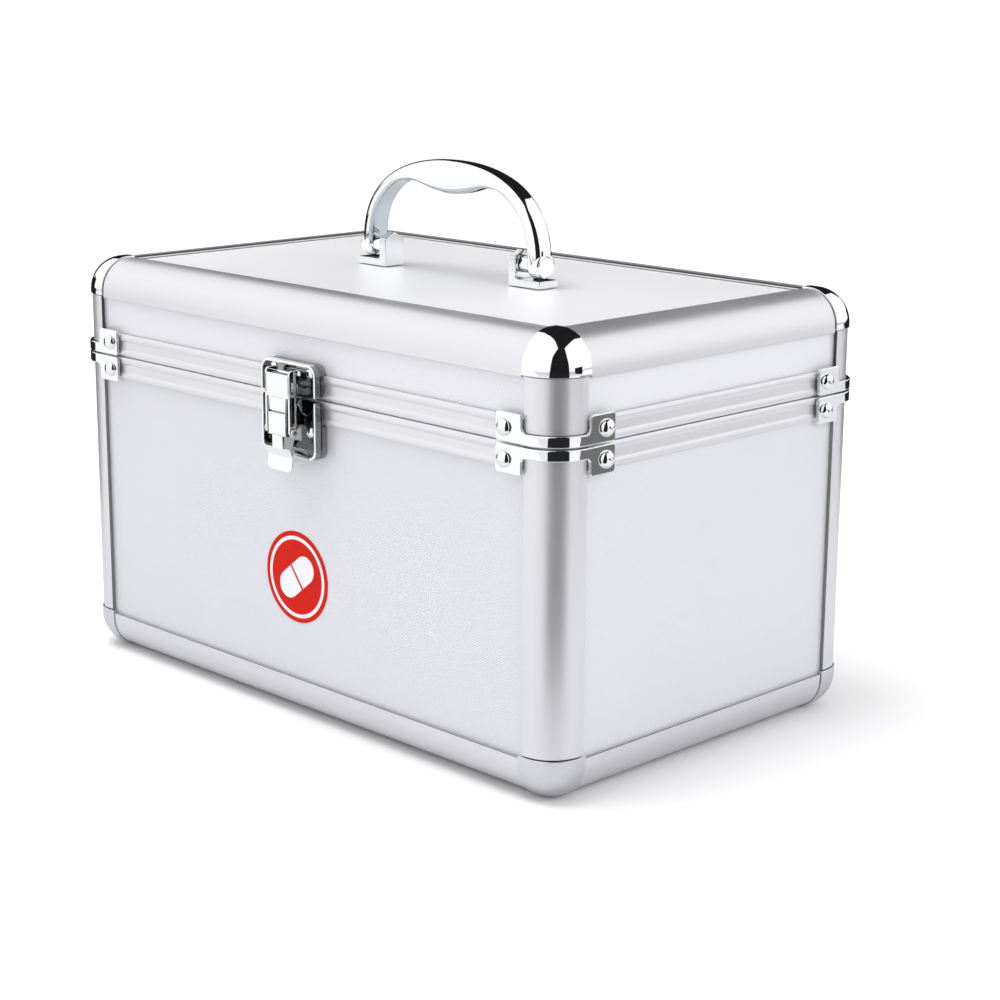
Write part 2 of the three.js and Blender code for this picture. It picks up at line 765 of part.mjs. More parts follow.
// A dished plate: a floor, an upstanding edge on three sides and a pad down to the board
function dishedPlate(low, high, open_end, rim_edge) {
  const w = plate_half_width;
  const r = plate_corner;
  const inner = r - plate_wall;
  const down = open_end === "bottom";
  const cornersOf = (radius) => (down ? [0, 0, radius, radius] : [radius, radius, 0, 0]);
  const outer_shape = roundedRectangle(-w, low, w, high, cornersOf(r));
  const body = solidOf(platePrism(outer_shape, plate_back, plate_face));
  const pocket_low = down ? low - overrun : low + plate_wall;
  const pocket_high = down ? high - plate_wall : high + overrun;
  const x = w - plate_wall;
  const pocket_shape = roundedRectangle(-x, pocket_low, x, pocket_high, cornersOf(inner));
  const dish = cutFrom(body, platePrism(pocket_shape, plate_floor, plate_face + overrun));
  const pad_back = fit_gap - board_recess;
  const pad = solidOf(platePrism(outer_shape, pad_back, plate_back + plate_wall / 2));
  const over_rim = down ? [low - overrun, rim_edge] : [rim_edge, high + overrun];
  const clear = latchBox([-w - overrun, w + overrun], [pad_back - overrun, plate_face], over_rim);
  return dish.add(cutFrom(pad, clear));
}

function latchRivet(x, z) {
  const dome = rivetDome(latch_rivet_radius, latch_rivet_height);
  return facingFront(dome, latch_centre + x, plate_floor, z);
}

function addLatchPlates() {
  let catch_plate = dishedPlate(catch_low, catch_high, "bottom", rim_top + fit_gap);
  const shelf_top = crossbar - crossbar_radius - fit_gap;
  const shelf_low = shelf_top - hook_shelf;
  const lip_outer = hook_lip_inner + hook_lip;
  const hook = outline([
    [plate_back + plate_wall / 2, shelf_low],
    [lip_outer, shelf_low],
    [lip_outer, crossbar + hook_lip_rise],
    [hook_lip_inner, crossbar + hook_lip_rise],
    [hook_lip_inner, shelf_top],
    [plate_back + plate_wall / 2, shelf_top],
  ]);
  catch_plate = catch_plate.add(solidOf(latchPrism(hook, -hook_half_width, hook_half_width)));
  const catch_rivet_z = catch_low + catch_rivet_rise;
  for (const x of [-latch_rivet_place, latch_rivet_place]) {
    catch_plate = catch_plate.add(solidOf(latchRivet(x, catch_rivet_z)));
  }
  addPiece("latch_catch_plate", catch_plate, materials.chrome);

  const base_rim_edge = 2 * split_height - rim_top - fit_gap;
  let plate = dishedPlate(base_plate_low, base_plate_high, "top", base_rim_edge);
  const lug = new THREE.Shape();
  const lug_low = lever_pivot - 2 * lever_barrel;
  lug.moveTo(plate_back + plate_wall / 2, lug_low - lever_barrel);
  lug.lineTo(lever_pivot_out, lug_low);
  lug.lineTo(lever_pivot_out + lever_barrel, lever_pivot);
  lug.absarc(lever_pivot_out, lever_pivot, lever_barrel, 0, Math.PI / 2);
  lug.lineTo(plate_floor, lever_pivot + lever_barrel);
  lug.lineTo(plate_floor, base_plate_high - plate_wall / 2);
  lug.lineTo(plate_back + plate_wall / 2, base_plate_high - plate_wall / 2);
  for (const sign of [-1, 1]) {
    const span = [sign * lug_inner, sign * (lug_inner + lug_thickness)].sort((a, b) => a - b);
    plate = plate.add(solidOf(latchPrism(lug, span[0], span[1])));
    const rivet_x = sign * latch_rivet_place;
    plate = plate.add(solidOf(latchRivet(rivet_x, base_plate_high - base_rivet_drop)));
  }
  const hole_end = lug_inner + lug_thickness + overrun;
  const hole_radius = lever_pin_radius + fit_gap;
  plate = cutFrom(plate, latchRod(hole_radius, -hole_end, hole_end, lever_pivot_out, lever_pivot));
  addPiece("latch_base_plate", plate, materials.chrome);
}

// The lever: a pressed channel with a rolled barrel at the top and a finger tab at the bottom
function addLatchLever() {
  const w = lever_half_width;
  const skin_back = lever_front - lever_sheet;
  const cheek = new THREE.Shape();
  cheek.moveTo(lever_front, lever_top);
  cheek.lineTo(lever_pivot_out, lever_top);
  cheek.absarc(lever_pivot_out, lever_pivot, lever_barrel, Math.PI / 2, Math.PI);
  cheek.lineTo(loop_pivot_out - 2 * lever_barrel, loop_pivot + lever_barrel);
  cheek.lineTo(loop_pivot_out - lever_barrel, loop_pivot - lever_barrel);
  cheek.lineTo(skin_back, lever_skin_low);
  cheek.lineTo(lever_front, lever_skin_low);
  const parts = [
    latchPrism(cheek, -w, -w + lever_sheet),
    latchPrism(cheek, w - lever_sheet, w),
    latchBox([-w, w], [skin_back, lever_front], [lever_skin_low, lever_top]),
    latchBox([-w, w], [lever_pivot_out, lever_front], [lever_top - lever_sheet, lever_top]),
    latchRod(lever_barrel, -w, w, lever_pivot_out, lever_pivot),
  ];
  const neck_low = lever_skin_low - lever_neck_length;
  const neck_w = lever_neck_half_width;
  const lap = lever_sheet / 2;
  parts.push(latchBox([-neck_w, neck_w], [skin_back, lever_front], [neck_low - lap, lever_skin_low + lap]));
  const tab_low = neck_low - lever_tab_length;
  const bend_low = neck_low - lever_tab_slope;
  const tab = outline([
    [skin_back, neck_low],
    [skin_back - lever_tab_setback, bend_low],
    [skin_back - lever_tab_setback + lever_tab_flare, tab_low],
    [lever_front - lever_tab_setback + lever_tab_flare, tab_low],
    [lever_front - lever_tab_setback, bend_low],
    [lever_front, neck_low],
  ]);
  parts.push(latchPrism(tab, -lever_tab_half_width, lever_tab_half_width));
  const end = w + overrun;
  const pin_hole = latchRod(lever_pin_radius + fit_gap, -end, end, lever_pivot_out, lever_pivot);
  const loop_hole = latchRod(loop_pin_radius + fit_gap, -end, end, loop_pivot_out, loop_pivot);
  addPiece("latch_lever", cutFrom(joined(...parts), pin_hole, loop_hole), materials.chrome);
  const pin_end = lug_inner + lug_thickness;
  const pin = latchRod(lever_pin_radius, -pin_end, pin_end, lever_pivot_out, lever_pivot);
  addPiece("latch_lever_pin", pin, materials.chrome);
}

// The loop: two arms, a front plate across them and the crossbar that the catch holds
function addLatchLoop() {
  const top = split_height + loop_top;
  const round = loop_pivot_out - loop_strip_inner;
  const arm = new THREE.Shape();
  arm.moveTo(loop_front, loop_pivot);
  arm.lineTo(loop_front, top - round);
  arm.absarc(loop_front - round, top - round, round, 0, Math.PI / 2);
  arm.lineTo(loop_top_inner + crossbar_radius, top);
  arm.lineTo(loop_top_inner, top - crossbar_radius);
  arm.lineTo(loop_top_inner, crossbar - crossbar_radius);
  arm.lineTo(loop_strip_inner, crossbar - 2 * crossbar_radius - round);
  arm.lineTo(loop_strip_inner, loop_pivot);
  arm.absarc(loop_pivot_out, loop_pivot, round, Math.PI, 2 * Math.PI);
  const w = loop_half_width;
  const plate_low = top - round / 2 - loop_plate_height;
  const parts = [
    latchPrism(arm, -w, -w + loop_arm),
    latchPrism(arm, w - loop_arm, w),
    latchBox([-w, w], [loop_front - loop_plate, loop_front], [plate_low, top - round]),
    latchRod(crossbar_radius, -w + loop_arm / 2, w - loop_arm / 2, crossbar_out, crossbar),
  ];
  const hole_end = w + overrun;
  const hole_radius = loop_pin_radius + fit_gap;
  const hole = latchRod(hole_radius, -hole_end, hole_end, loop_pivot_out, loop_pivot);
  const slot_out = [loop_pivot_out - loop_slot_half_width, loop_pivot_out + loop_slot_half_width];
  const slot_z = [loop_pivot + loop_slot_rise, loop_pivot + loop_slot_rise + loop_slot_length];
  const slots = [-1, 1].map((sign) => {
    const span = [sign * (w - loop_arm - overrun / 4), sign * hole_end].sort((p, q) => p - q);
    return latchBox(span, slot_out, slot_z);
  });
  addPiece("latch_loop", cutFrom(joined(...parts), hole, ...slots), materials.chrome);
  const head = w + fit_gap;
  const head_end = head + loop_pin_head_thickness;
  const pin = joined(
    latchRod(loop_pin_radius, -head_end, head_end, loop_pivot_out, loop_pivot),
    latchRod(loop_pin_head, -head_end, -head, loop_pivot_out, loop_pivot),
    latchRod(loop_pin_head, head, head_end, loop_pivot_out, loop_pivot),
  );
  addPiece("latch_loop_pin", pin, materials.chrome);
}

// One hinge leaf with every other knuckle; up is +1 on the lid and -1 on the base
function hingeLeaf(up, first) {
  const face = half_width + fit_gap;
  const axis_y = half_width + hinge_pin_out;
  const near = up * fit_gap;
  const zs = (a, b) => [split_height + a, split_height + b].sort((p, q) => p - q);
  const half = hinge_length / 2;
  const [low, high] = zs(near, up * (fit_gap + leaf_height));
  let leaf = solidOf(box([-half, face, low], [half, face + leaf_thickness, high]));
  const pitch = (hinge_length + knuckle_gap) / knuckle_count;
  const [web_low, web_high] = zs(near, up * knuckle_web);
  for (let i = first; i < knuckle_count; i += 2) {
    const x0 = -half + i * pitch;
    const x1 = x0 + pitch - knuckle_gap;
    leaf = leaf.add(solidOf(rodX(knuckle_radius, x0, x1, axis_y, split_height)));
    const root = face + leaf_thickness / 2;
    leaf = leaf.add(solidOf(box([x0, root, web_low], [x1, axis_y, web_high])));
  }
  const bore = hinge_pin_radius + fit_gap;
  leaf = cutFrom(leaf, rodX(bore, -half - overrun, half + overrun, axis_y, split_height));
  const rivet_pitch = hinge_length / leaf_rivet_count;
  const rivet_z = split_height + up * (fit_gap + leaf_height - leaf_rivet_inset);
  for (let i = 0; i < leaf_rivet_count; i++) {
    const dome = rivetDome(leaf_rivet_radius, leaf_rivet_height);
    const x = -half + (i + 1 / 2) * rivet_pitch;
    leaf = leaf.add(solidOf(facingRear(dome, x, fit_gap + leaf_thickness, rivet_z)));
  }
  return leaf;
}

function addHinge() {
  addPiece("hinge_base_leaf", hingeLeaf(-1, 0), materials.chrome);
  addPiece("hinge_lid_leaf", hingeLeaf(1, 1), materials.chrome);
  const half = hinge_length / 2;
  const pin = rodX(hinge_pin_radius, -half, half, half_width + hinge_pin_out, split_height);
  addPiece("hinge_pin", pin, materials.chrome);
}

addPosts();
addEdges();
addCaps();
addBoards();
addLiners();
addRims();
addBraces();
addHandle();
addLatchPlates();
addLatchLever();
addLatchLoop();
addHinge();

// The caps stand on z = 0, and the origin is under the middle of the whole case
const reach = new THREE.Box3().setFromObject(case_group);
case_group.position.set(0, -(reach.min.y + reach.max.y) / 2, -reach.min.z);

export default case_group;
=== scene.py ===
# %% [markdown]
# # A small medicine case, dressed piece by piece
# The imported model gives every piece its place, so this lesson never fits anything by eye. Each step
# takes one kind of piece, says what it is on the real case, and models it where the frame says.

# %% Load the frame
import json
import math

import bpy
from mathutils import Matrix, Vector


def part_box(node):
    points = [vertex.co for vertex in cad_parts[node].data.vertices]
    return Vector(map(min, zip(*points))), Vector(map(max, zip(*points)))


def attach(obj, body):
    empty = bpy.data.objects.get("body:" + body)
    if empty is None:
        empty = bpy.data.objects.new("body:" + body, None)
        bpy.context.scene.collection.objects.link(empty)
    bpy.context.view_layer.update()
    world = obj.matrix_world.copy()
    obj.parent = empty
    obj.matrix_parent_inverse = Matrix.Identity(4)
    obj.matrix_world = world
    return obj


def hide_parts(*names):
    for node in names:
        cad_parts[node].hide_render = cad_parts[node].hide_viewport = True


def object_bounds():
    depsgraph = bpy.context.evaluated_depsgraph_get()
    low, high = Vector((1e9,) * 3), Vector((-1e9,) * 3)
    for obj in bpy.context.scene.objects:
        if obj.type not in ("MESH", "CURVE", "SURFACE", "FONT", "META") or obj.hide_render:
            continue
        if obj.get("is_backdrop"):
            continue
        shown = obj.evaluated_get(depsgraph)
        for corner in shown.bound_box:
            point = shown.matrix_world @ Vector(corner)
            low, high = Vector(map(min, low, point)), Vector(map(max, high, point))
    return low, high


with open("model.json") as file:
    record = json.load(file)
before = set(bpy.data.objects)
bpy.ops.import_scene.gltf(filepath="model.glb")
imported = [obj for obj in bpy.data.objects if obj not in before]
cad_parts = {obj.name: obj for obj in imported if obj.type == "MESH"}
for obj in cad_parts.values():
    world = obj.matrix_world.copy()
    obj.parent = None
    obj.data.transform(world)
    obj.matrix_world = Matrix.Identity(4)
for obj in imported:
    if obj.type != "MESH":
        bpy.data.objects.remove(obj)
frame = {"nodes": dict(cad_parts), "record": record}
cad_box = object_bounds()
mm = 0.001
home = {node: body for body, nodes in frame["record"]["behaviour"]["bodies"].items() for node in nodes}
print("nodes in the frame:", len(home))

# %% [markdown]
# ## The measures that all pieces share
# The outer faces of the case are read from the posts and edges of the frame. The split between lid and
# base is the height of the hinge pin. A few sizes of the sections are repeated from the drawing.

# %% Measures
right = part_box("lid_post_front_right")[1].x
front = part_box("lid_post_front_right")[0].y
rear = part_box("lid_post_rear_right")[1].y
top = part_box("lid_front_edge")[1].z
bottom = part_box("base_front_edge")[0].z
split = sum(corner.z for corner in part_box("hinge_pin")) / 2
middle = Vector((0, (front + rear) / 2, (top + bottom) / 2))
at_split = Vector((0, middle.y, split))
corner_radius = 12 * mm
clearance = 0.3 * mm
print("case over its extrusions, mm:", [round(v / mm) for v in (2 * right, rear - front, top - bottom)])

# %% [markdown]
# ## The camera
# The camera stands in front of the right-hand corner, a little above the lid, with a long lens. Its
# place was worked out from the straight edges of the case, so it is written as a place, two angles and
# a small roll. It is made before anything else, because every later look is judged through it.

# %% Camera
camera_place = Vector((0.5711, -0.5432, 0.2610))
camera_heading = math.radians(45.13)
camera_dip = math.radians(13.85)
camera_roll = math.radians(0.39)
camera_lens = 78.9

camera_data = bpy.data.cameras.new("camera")
camera = bpy.data.objects.new("camera", camera_data)
bpy.context.scene.collection.objects.link(camera)
camera_data.sensor_width = 36
camera_data.lens = camera_lens
camera_data.clip_start = 0.05
camera_data.clip_end = 50
level = Matrix.Rotation(camera_heading, 4, "Z") @ Matrix.Rotation(math.pi / 2 - camera_dip, 4, "X")
camera.matrix_world = Matrix.Translation(camera_place) @ level @ Matrix.Rotation(camera_roll, 4, "Z")
bpy.context.scene.camera = camera

# %% [markdown]
# ## Helpers for modelling as by hand
# Every piece starts from a primitive. These helpers only save repeated lines: they clear the
# selection, push an outline into a solid, pick edges or faces by their place, round the edges that are
# left sharp, and mirror a finished piece into its other corners.

# %% Modelling helpers
def select_only(*pieces):
    if bpy.context.object and bpy.context.object.mode != "OBJECT":
        bpy.ops.object.mode_set(mode="OBJECT")
    bpy.ops.object.select_all(action="DESELECT")
    for piece in pieces:
        piece.select_set(True)
        bpy.context.view_layer.objects.active = piece


def newest(name):
    piece = bpy.context.object
    piece.name = name
    piece.data.name = name
    return piece


def settle(piece):
    """Puts the place, turn and size of a piece into its mesh."""
    select_only(piece)
    bpy.ops.object.transform_apply(location=True, rotation=True, scale=True)
    return piece


def edit_all():
    """Goes to edit mode with everything selected."""
    bpy.ops.object.mode_set(mode="EDIT")
    bpy.ops.mesh.select_all(action="SELECT")


def filled(name, ring):
    """A flat face inside a ring of points."""
    select_only()
    bpy.ops.mesh.primitive_circle_add(vertices=len(ring), fill_type="NGON")
    piece = newest(name)
    for vertex, place in zip(piece.data.vertices, ring):
        vertex.co = place
    return piece


def extruded(piece, push):
    """A flat piece, pushed into a solid."""
    edit_all()
    bpy.ops.mesh.extrude_region_move(TRANSFORM_OT_translate={"value": push})
    bpy.ops.mesh.select_all(action="SELECT")
    bpy.ops.mesh.normals_make_consistent(inside=False)
    bpy.ops.object.mode_set(mode="OBJECT")
    return piece


def pushed(name, ring, push):
    return extruded(filled(name, ring), push)


def cut(place, outward, **clear):
    """Cuts the piece at hand by a plane."""
    edit_all()
    bpy.ops.mesh.bisect(plane_co=place, plane_no=outward, use_fill=bool(clear), **clear)
    bpy.ops.object.mode_set(mode="OBJECT")


def modified(piece, kind, **settings):
    """Adds a modifier with its settings and applies it."""
    select_only(piece)
    bpy.ops.object.modifier_add(type=kind)
    modifier = piece.modifiers[-1]
    for label, value in settings.items():
        setattr(modifier, label, value)
    bpy.ops.object.modifier_apply(modifier=modifier.name)
    return piece


def block(name, low, high):
    """A cube stretched between two corners."""
    select_only()
    size = Vector(high) - Vector(low)
    bpy.ops.mesh.primitive_cube_add(size=1, location=(Vector(low) + Vector(high)) / 2)
    piece = newest(name)
    piece.scale = size
    return settle(piece)


def rod(name, radius, start, end, sides=32):
    """A cylinder between two points."""
    select_only()
    along = Vector(end) - Vector(start)
    turn = along.to_track_quat("Z", "Y").to_euler()
    place = (Vector(start) + Vector(end)) / 2
    bpy.ops.mesh.primitive_cylinder_add(
        vertices=sides, radius=radius, depth=along.length, location=place, rotation=turn
    )
    return settle(newest(name))


def pick(piece, kind, wanted):
    """Selects the edges whose two ends, or the faces whose centre and normal, are wanted."""
    select_only(piece)
    bpy.ops.object.mode_set(mode="EDIT")
    bpy.ops.mesh.select_mode(type=kind)
    bpy.ops.mesh.select_all(action="DESELECT")
    bpy.ops.object.mode_set(mode="OBJECT")
    if kind == "EDGE":
        for edge in piece.data.edges:
            edge.select = wanted(*(piece.data.vertices[i].co for i in edge.vertices))
    else:
        for side in piece.data.polygons:
            side.select = wanted(side.center, side.normal)
    bpy.ops.object.mode_set(mode="EDIT")


def rounded(piece, width, segments=2, sharper_than=35):
    """Rounds every edge sharper than an angle, and shades the rest smooth."""
    sharp = math.radians(sharper_than)
    modified(piece, "BEVEL", width=width, segments=segments, limit_method="ANGLE", angle_limit=sharp)
    bpy.ops.object.shade_smooth_by_angle(angle=sharp)
    return piece


def removed(*pieces):
    for piece in pieces:
        bpy.data.objects.remove(piece)


def painted(piece, wanted):
    """Gives the faces that a rule wants the piece's second finish, and the others its first."""
    for side in piece.data.polygons:
        side.material_index = int(wanted(side.center, side.normal))
    return piece


def joined(name, *pieces):
    select_only(*pieces)
    bpy.context.view_layer.objects.active = pieces[0]
    bpy.ops.object.join()
    return newest(name)


def mirrored(piece, name, x=1, y=1, z=1, about=middle):
    """A copy with its own mesh, mirrored through a point."""
    select_only(piece)
    bpy.ops.object.duplicate()
    twin = newest(name)
    flip = Matrix.Diagonal((x, y, z, 1))
    twin.data.transform(Matrix.Translation(about) @ flip @ Matrix.Translation(-about))
    if x * y * z < 0:
        twin.data.flip_normals()
    return twin


def arc(centre, radius, start, end, steps):
    """Points on a round stretch, in degrees from start to end."""
    turns = (math.radians(start + (end - start) * i / steps) for i in range(steps + 1))
    return [(centre[0] + radius * math.cos(t), centre[1] + radius * math.sin(t)) for t in turns]


def coated(piece, *materials):
    piece.data.materials.clear()
    for material in materials:
        piece.data.materials.append(material)
    return piece


def fitted(piece, material, node):
    """Gives a piece its finish, shades its flat faces flat, and lets it stand for a node of the frame."""
    if material:
        coated(piece, material)
    modified(piece, "WEIGHTED_NORMAL", keep_sharp=True)
    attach(piece, home[node])
    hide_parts(node)
    return piece


# %% [markdown]
# ## Effects that several finishes share
# Drawn aluminium, chrome and painted board all show slow changes of tone, and the metals show fine
# lines. Each effect is a node group with named sockets, made once, and put in a material with its own
# values. A group gives only a mask or a height, and the shader stays in the material.

# %% Shared effects
def feed(tree, socket, value):
    """Puts a value into a socket, or a link from another node."""
    if isinstance(value, bpy.types.NodeSocket):
        tree.links.new(value, socket)
    else:
        socket.default_value = value


def node_with(tree, kind, settings, *ordered, **named):
    """A shader node with its inputs fed in order or by name, where _ stands for a space."""
    node = tree.nodes.new("ShaderNode" + kind)
    for label, value in settings.items():
        setattr(node, label, value)
    for socket, value in zip(node.inputs, ordered):
        feed(tree, socket, value)
    for label, value in named.items():
        feed(tree, node.inputs[label.replace("_", " ")], value)
    return node


def math_node(tree, operation, *values):
    return node_with(tree, "Math", {"operation": operation}, *values).outputs[0]


def mask_group(name, label, kind, value):
    """An empty node group that will turn coordinates and one more value into a mask."""
    group = bpy.data.node_groups.new(name, "ShaderNodeTree")
    group.interface.new_socket("Vector", in_out="INPUT", socket_type="NodeSocketVector")
    group.interface.new_socket(label, in_out="INPUT", socket_type=kind).default_value = value
    group.interface.new_socket("Mask", in_out="OUTPUT", socket_type="NodeSocketFloat")
    return group, group.nodes.new("NodeGroupInput").outputs, group.nodes.new("NodeGroupOutput").inputs


# Fine lines along one axis: noise that is stretched by the scale given for each axis
drawn_lines, given, out = mask_group("drawn_lines", "Stretch", "NodeSocketVector", (1, 1, 1))
scaled = node_with(drawn_lines, "VectorMath", {"operation": "MULTIPLY"}, given["Vector"], given["Stretch"])
noise = node_with(drawn_lines, "TexNoise", {}, Vector=scaled.outputs[0], Scale=1, Detail=2)
feed(drawn_lines, out["Mask"], noise.outputs["Fac"])
# Slow blotches from handling and cleaning, centred on one half
handling, given, out = mask_group("handling", "Scale", "NodeSocketFloat", 30)
noise = node_with(handling, "TexNoise", {}, Vector=given["Vector"], Scale=given["Scale"], Detail=3)
feed(handling, out["Mask"], noise.outputs["Fac"])

# %% [markdown]
# ## How a finish is put together
# Every finish is one shader whose colour, blur and height each follow a mask between two values. These
# helpers wire that up, so a finish is written as its masks and values alone.

# %% Material helpers
def new_material(name, metallic, roughness, specular=0.5):
    material = bpy.data.materials.new(name)
    material.use_nodes = True
    shader = material.node_tree.nodes["Principled BSDF"]
    shader.inputs["Metallic"].default_value = metallic
    shader.inputs["Roughness"].default_value = roughness
    shader.inputs["Specular IOR Level"].default_value = specular
    return material, material.node_tree, shader


def place_on_object(tree):
    return node_with(tree, "TexCoord", {}).outputs["Object"]


def effect(tree, group, **values):
    """The mask of a shared effect, which follows the object's own coordinates."""
    node = node_with(tree, "Group", {"node_tree": group}, Vector=place_on_object(tree), **values)
    return node.outputs["Mask"]


def tone_between(tree, mask, dark, light, socket):
    """Mixes two colours by a mask into a colour socket."""
    mix = node_with(tree, "Mix", {"data_type": "RGBA"}, Factor=mask, A=(*dark, 1), B=(*light, 1))
    feed(tree, socket, mix.outputs["Result"])


def range_into(tree, mask, low, high, socket):
    """Spreads the middle of a mask between two values into a number socket."""
    spread = node_with(tree, "MapRange", {}, Value=mask, From_Min=0.3, From_Max=0.7, To_Min=low, To_Max=high)
    feed(tree, socket, spread.outputs["Result"])


def surface(tree, shader, tones, blur, bump):
    """Colour, blur and height of a finish: each is a mask with the two values that belong to it."""
    tone_between(tree, *tones, shader.inputs["Base Color"])
    range_into(tree, *blur, shader.inputs["Roughness"])
    height, distance, strength = bump
    node = node_with(tree, "Bump", {}, Height=height, Distance=distance, Strength=strength)
    feed(tree, shader.inputs["Normal"], node.outputs["Normal"])


# %% [markdown]
# ## The metals
# The extrusions are satin anodised aluminium with fine die lines along their length, so the lines are
# stretched along each extrusion's own axis. The handle, latch, braces and upper corner caps are chrome
# plate, almost a mirror, with a trace of wiping marks. The lower caps are cast and satin.

# %% Metal finishes
line_pitch = 2600
line_run = 12
satin_light = (0.80, 0.80, 0.825)
satin_dark = (0.72, 0.72, 0.75)
fine_depth = 0.00002


def satin_material(name, stretch):
    material, tree, shader = new_material(name, 0.8, 0.3)
    lines = effect(tree, drawn_lines, Stretch=stretch)
    blotches = effect(tree, handling, Scale=18)
    both = math_node(tree, "MULTIPLY", math_node(tree, "ADD", lines, blotches), 0.5)
    surface(tree, shader, (both, satin_dark, satin_light), (both, 0.33, 0.45), (lines, fine_depth, 0.25))
    return material


satin = {
    "x": satin_material("satin_along_x", (line_run, line_pitch, line_pitch)),
    "y": satin_material("satin_along_y", (line_pitch, line_run, line_pitch)),
    "z": satin_material("satin_along_z", (line_pitch, line_pitch, line_run)),
}


def chrome_material(name, dark, light, blur=0.04):
    material, tree, shader = new_material(name, 1.0, 0.06)
    wiping = effect(tree, drawn_lines, Stretch=(900, 900, 60))
    blotches = effect(tree, handling, Scale=70)
    both = math_node(tree, "MULTIPLY", wiping, blotches)
    surface(tree, shader, (blotches, dark, light), (both, blur, blur + 0.1), (blotches, fine_depth, 0.12))
    return material


def plain_material(name, metallic, dark, light, blur, bump, scale, grain=None, specular=0.5):
    """A finish whose tone and blur follow slow blotches, with a fine grain in its surface."""
    material, tree, shader = new_material(name, metallic, blur[0], specular)
    blotches = effect(tree, handling, Scale=scale)
    fine = effect(tree, handling, Scale=grain) if grain else blotches
    surface(tree, shader, (blotches, dark, light), (blotches, *blur), (fine, *bump))
    return material


dull_chrome = chrome_material("cast_chrome", (0.72, 0.725, 0.74), (0.80, 0.805, 0.82), 0.14)
chrome = chrome_material("chrome_plate", (0.87, 0.875, 0.89), (0.93, 0.935, 0.94))
# A darker copy of the chrome is painted shade, for the underside of the handle's grip
painted_underside_shade_chrome = chrome_material("chrome_with_painted_shade_below", (0.44, 0.475, 0.505), (0.54, 0.575, 0.605))
# A much darker copy is painted shade, for the latch's hollows, pads, cheeks and right-facing walls
painted_shade_chrome = chrome_material("chrome_with_painted_shade_inside", (0.26, 0.265, 0.27), (0.36, 0.365, 0.37))
cast_tones = (0.68, 0.68, 0.71), (0.8, 0.8, 0.83)
cast = plain_material("satin_cast_cap", 1.0, *cast_tones, (0.27, 0.4), (fine_depth, 0.3), 60, 2500)
metals = [*satin.values(), chrome, dull_chrome, painted_underside_shade_chrome, painted_shade_chrome, cast]
print("metal finishes:", ", ".join(metal.name for metal in metals))

# %% [markdown]
# ## The boards
# The side boards carry a sheet with fine diagonal ribs. One sloping coordinate serves every upright
# face: it rises to the right on the front and falls to the right on the right-hand side, as ribs do on
# a sheet that is wrapped round. The top board is smooth, with a faint grain.

# %% Board finishes
rib_pitch = 0.68 * mm
rib_way = Vector((-0.62, 0.62, 1))


def ribbed_material(name, dark, light):
    material, tree, shader = new_material(name, 0.35, 0.5)
    rib_waves = rib_way * 2 * math.pi / (rib_pitch * rib_way.xz.length)
    slope = node_with(tree, "VectorMath", {"operation": "DOT_PRODUCT"}, place_on_object(tree), rib_waves)
    wave = math_node(tree, "SINE", slope.outputs["Value"])
    mask = math_node(tree, "ADD", math_node(tree, "MULTIPLY", wave, 0.5), 0.5)
    ribs = math_node(tree, "MULTIPLY", mask, 0.75)
    both = math_node(tree, "ADD", ribs, math_node(tree, "MULTIPLY", effect(tree, handling, Scale=9), 0.25))
    surface(tree, shader, (both, dark, light), (mask, 0.42, 0.52), (mask, 0.00006, 0.35))
    return material


def foam_material():
    material, tree, shader = new_material("foam_lining", 0.0, 0.95, 0.2)
    cells = effect(tree, handling, Scale=1800)
    blotches = effect(tree, handling, Scale=25)
    tones = (blotches, (0.018, 0.018, 0.021), (0.034, 0.034, 0.038))
    surface(tree, shader, tones, (cells, 0.85, 1.0), (cells, 0.0003, 0.6))
    shader.inputs["Sheen Weight"].default_value = 0.3
    return material


# The lid's sheet is painted a little paler than the base's: painted light, because the lid is lit more
# brightly
ribbed = {
    "base": ribbed_material("ribbed_board", (0.61, 0.61, 0.66), (0.79, 0.79, 0.83)),
    "lid": ribbed_material("ribbed_board_of_lid_painted_lighter", (0.665, 0.665, 0.715), (0.86, 0.86, 0.9)),
}
smooth_tones = (0.91, 0.91, 0.94), (0.96, 0.96, 0.985)
smooth_board = plain_material("smooth_board", 0.3, *smooth_tones, (0.42, 0.5), (fine_depth, 0.2), 8, 1400)
foam = foam_material()

panels = [node for node in frame["nodes"] if node.endswith("_panel")]
for node in panels:
    flat = node in ("lid_top_panel", "base_floor_panel")
    coated(frame["nodes"][node], smooth_board if flat else ribbed[home[node]])
print("boards dressed:", len(panels))

# %% [markdown]
# ## The frame extrusions
# Each post and edge is a length of one aluminium profile: a quarter round outside and two grooves that
# hold the boards. An extrusion is just its section pushed along, so the section is drawn once, filled,
# and extruded. The first post and edges are mirrored into the other corners.

# %% Frame extrusions
profile_leg = 14 * mm
profile_wall = 1.2 * mm
profile_depth = 6 * mm
groove_far = 4.8 * mm
groove_end = corner_radius - clearance
# Depth of the painted seam shade on the ends of the flanges
seam_shade_depth = 0.75 * mm


def profile_section():
    leg, wall, far, end, depth = profile_leg, profile_wall, groove_far, groove_end, profile_depth
    inside = [(-leg, 0), (-leg, -seam_shade_depth), (-leg, -wall), (-end, -wall), (-end, -far), (-leg, -far)]
    inside += [(-leg, -depth)]
    outside = arc((-corner_radius, -corner_radius), corner_radius, 0, 90, 20)
    return [*inside, (-depth, -depth), *[(b, a) for a, b in reversed(inside)], *outside]


def extrusion(name, place, start, end):
    ring = [place(a, b, start) for a, b in profile_section()]
    push = place(0, 0, end) - place(0, 0, start)
    return rounded(pushed(name, ring, push), 0.15 * mm, 2, 50)


def post_place(a, b, along):
    return Vector((right + a, front - b, along))


def long_place(a, b, along):
    return Vector((along, front - a, top + b))


def short_place(a, b, along):
    return Vector((right + a, along, top + b))


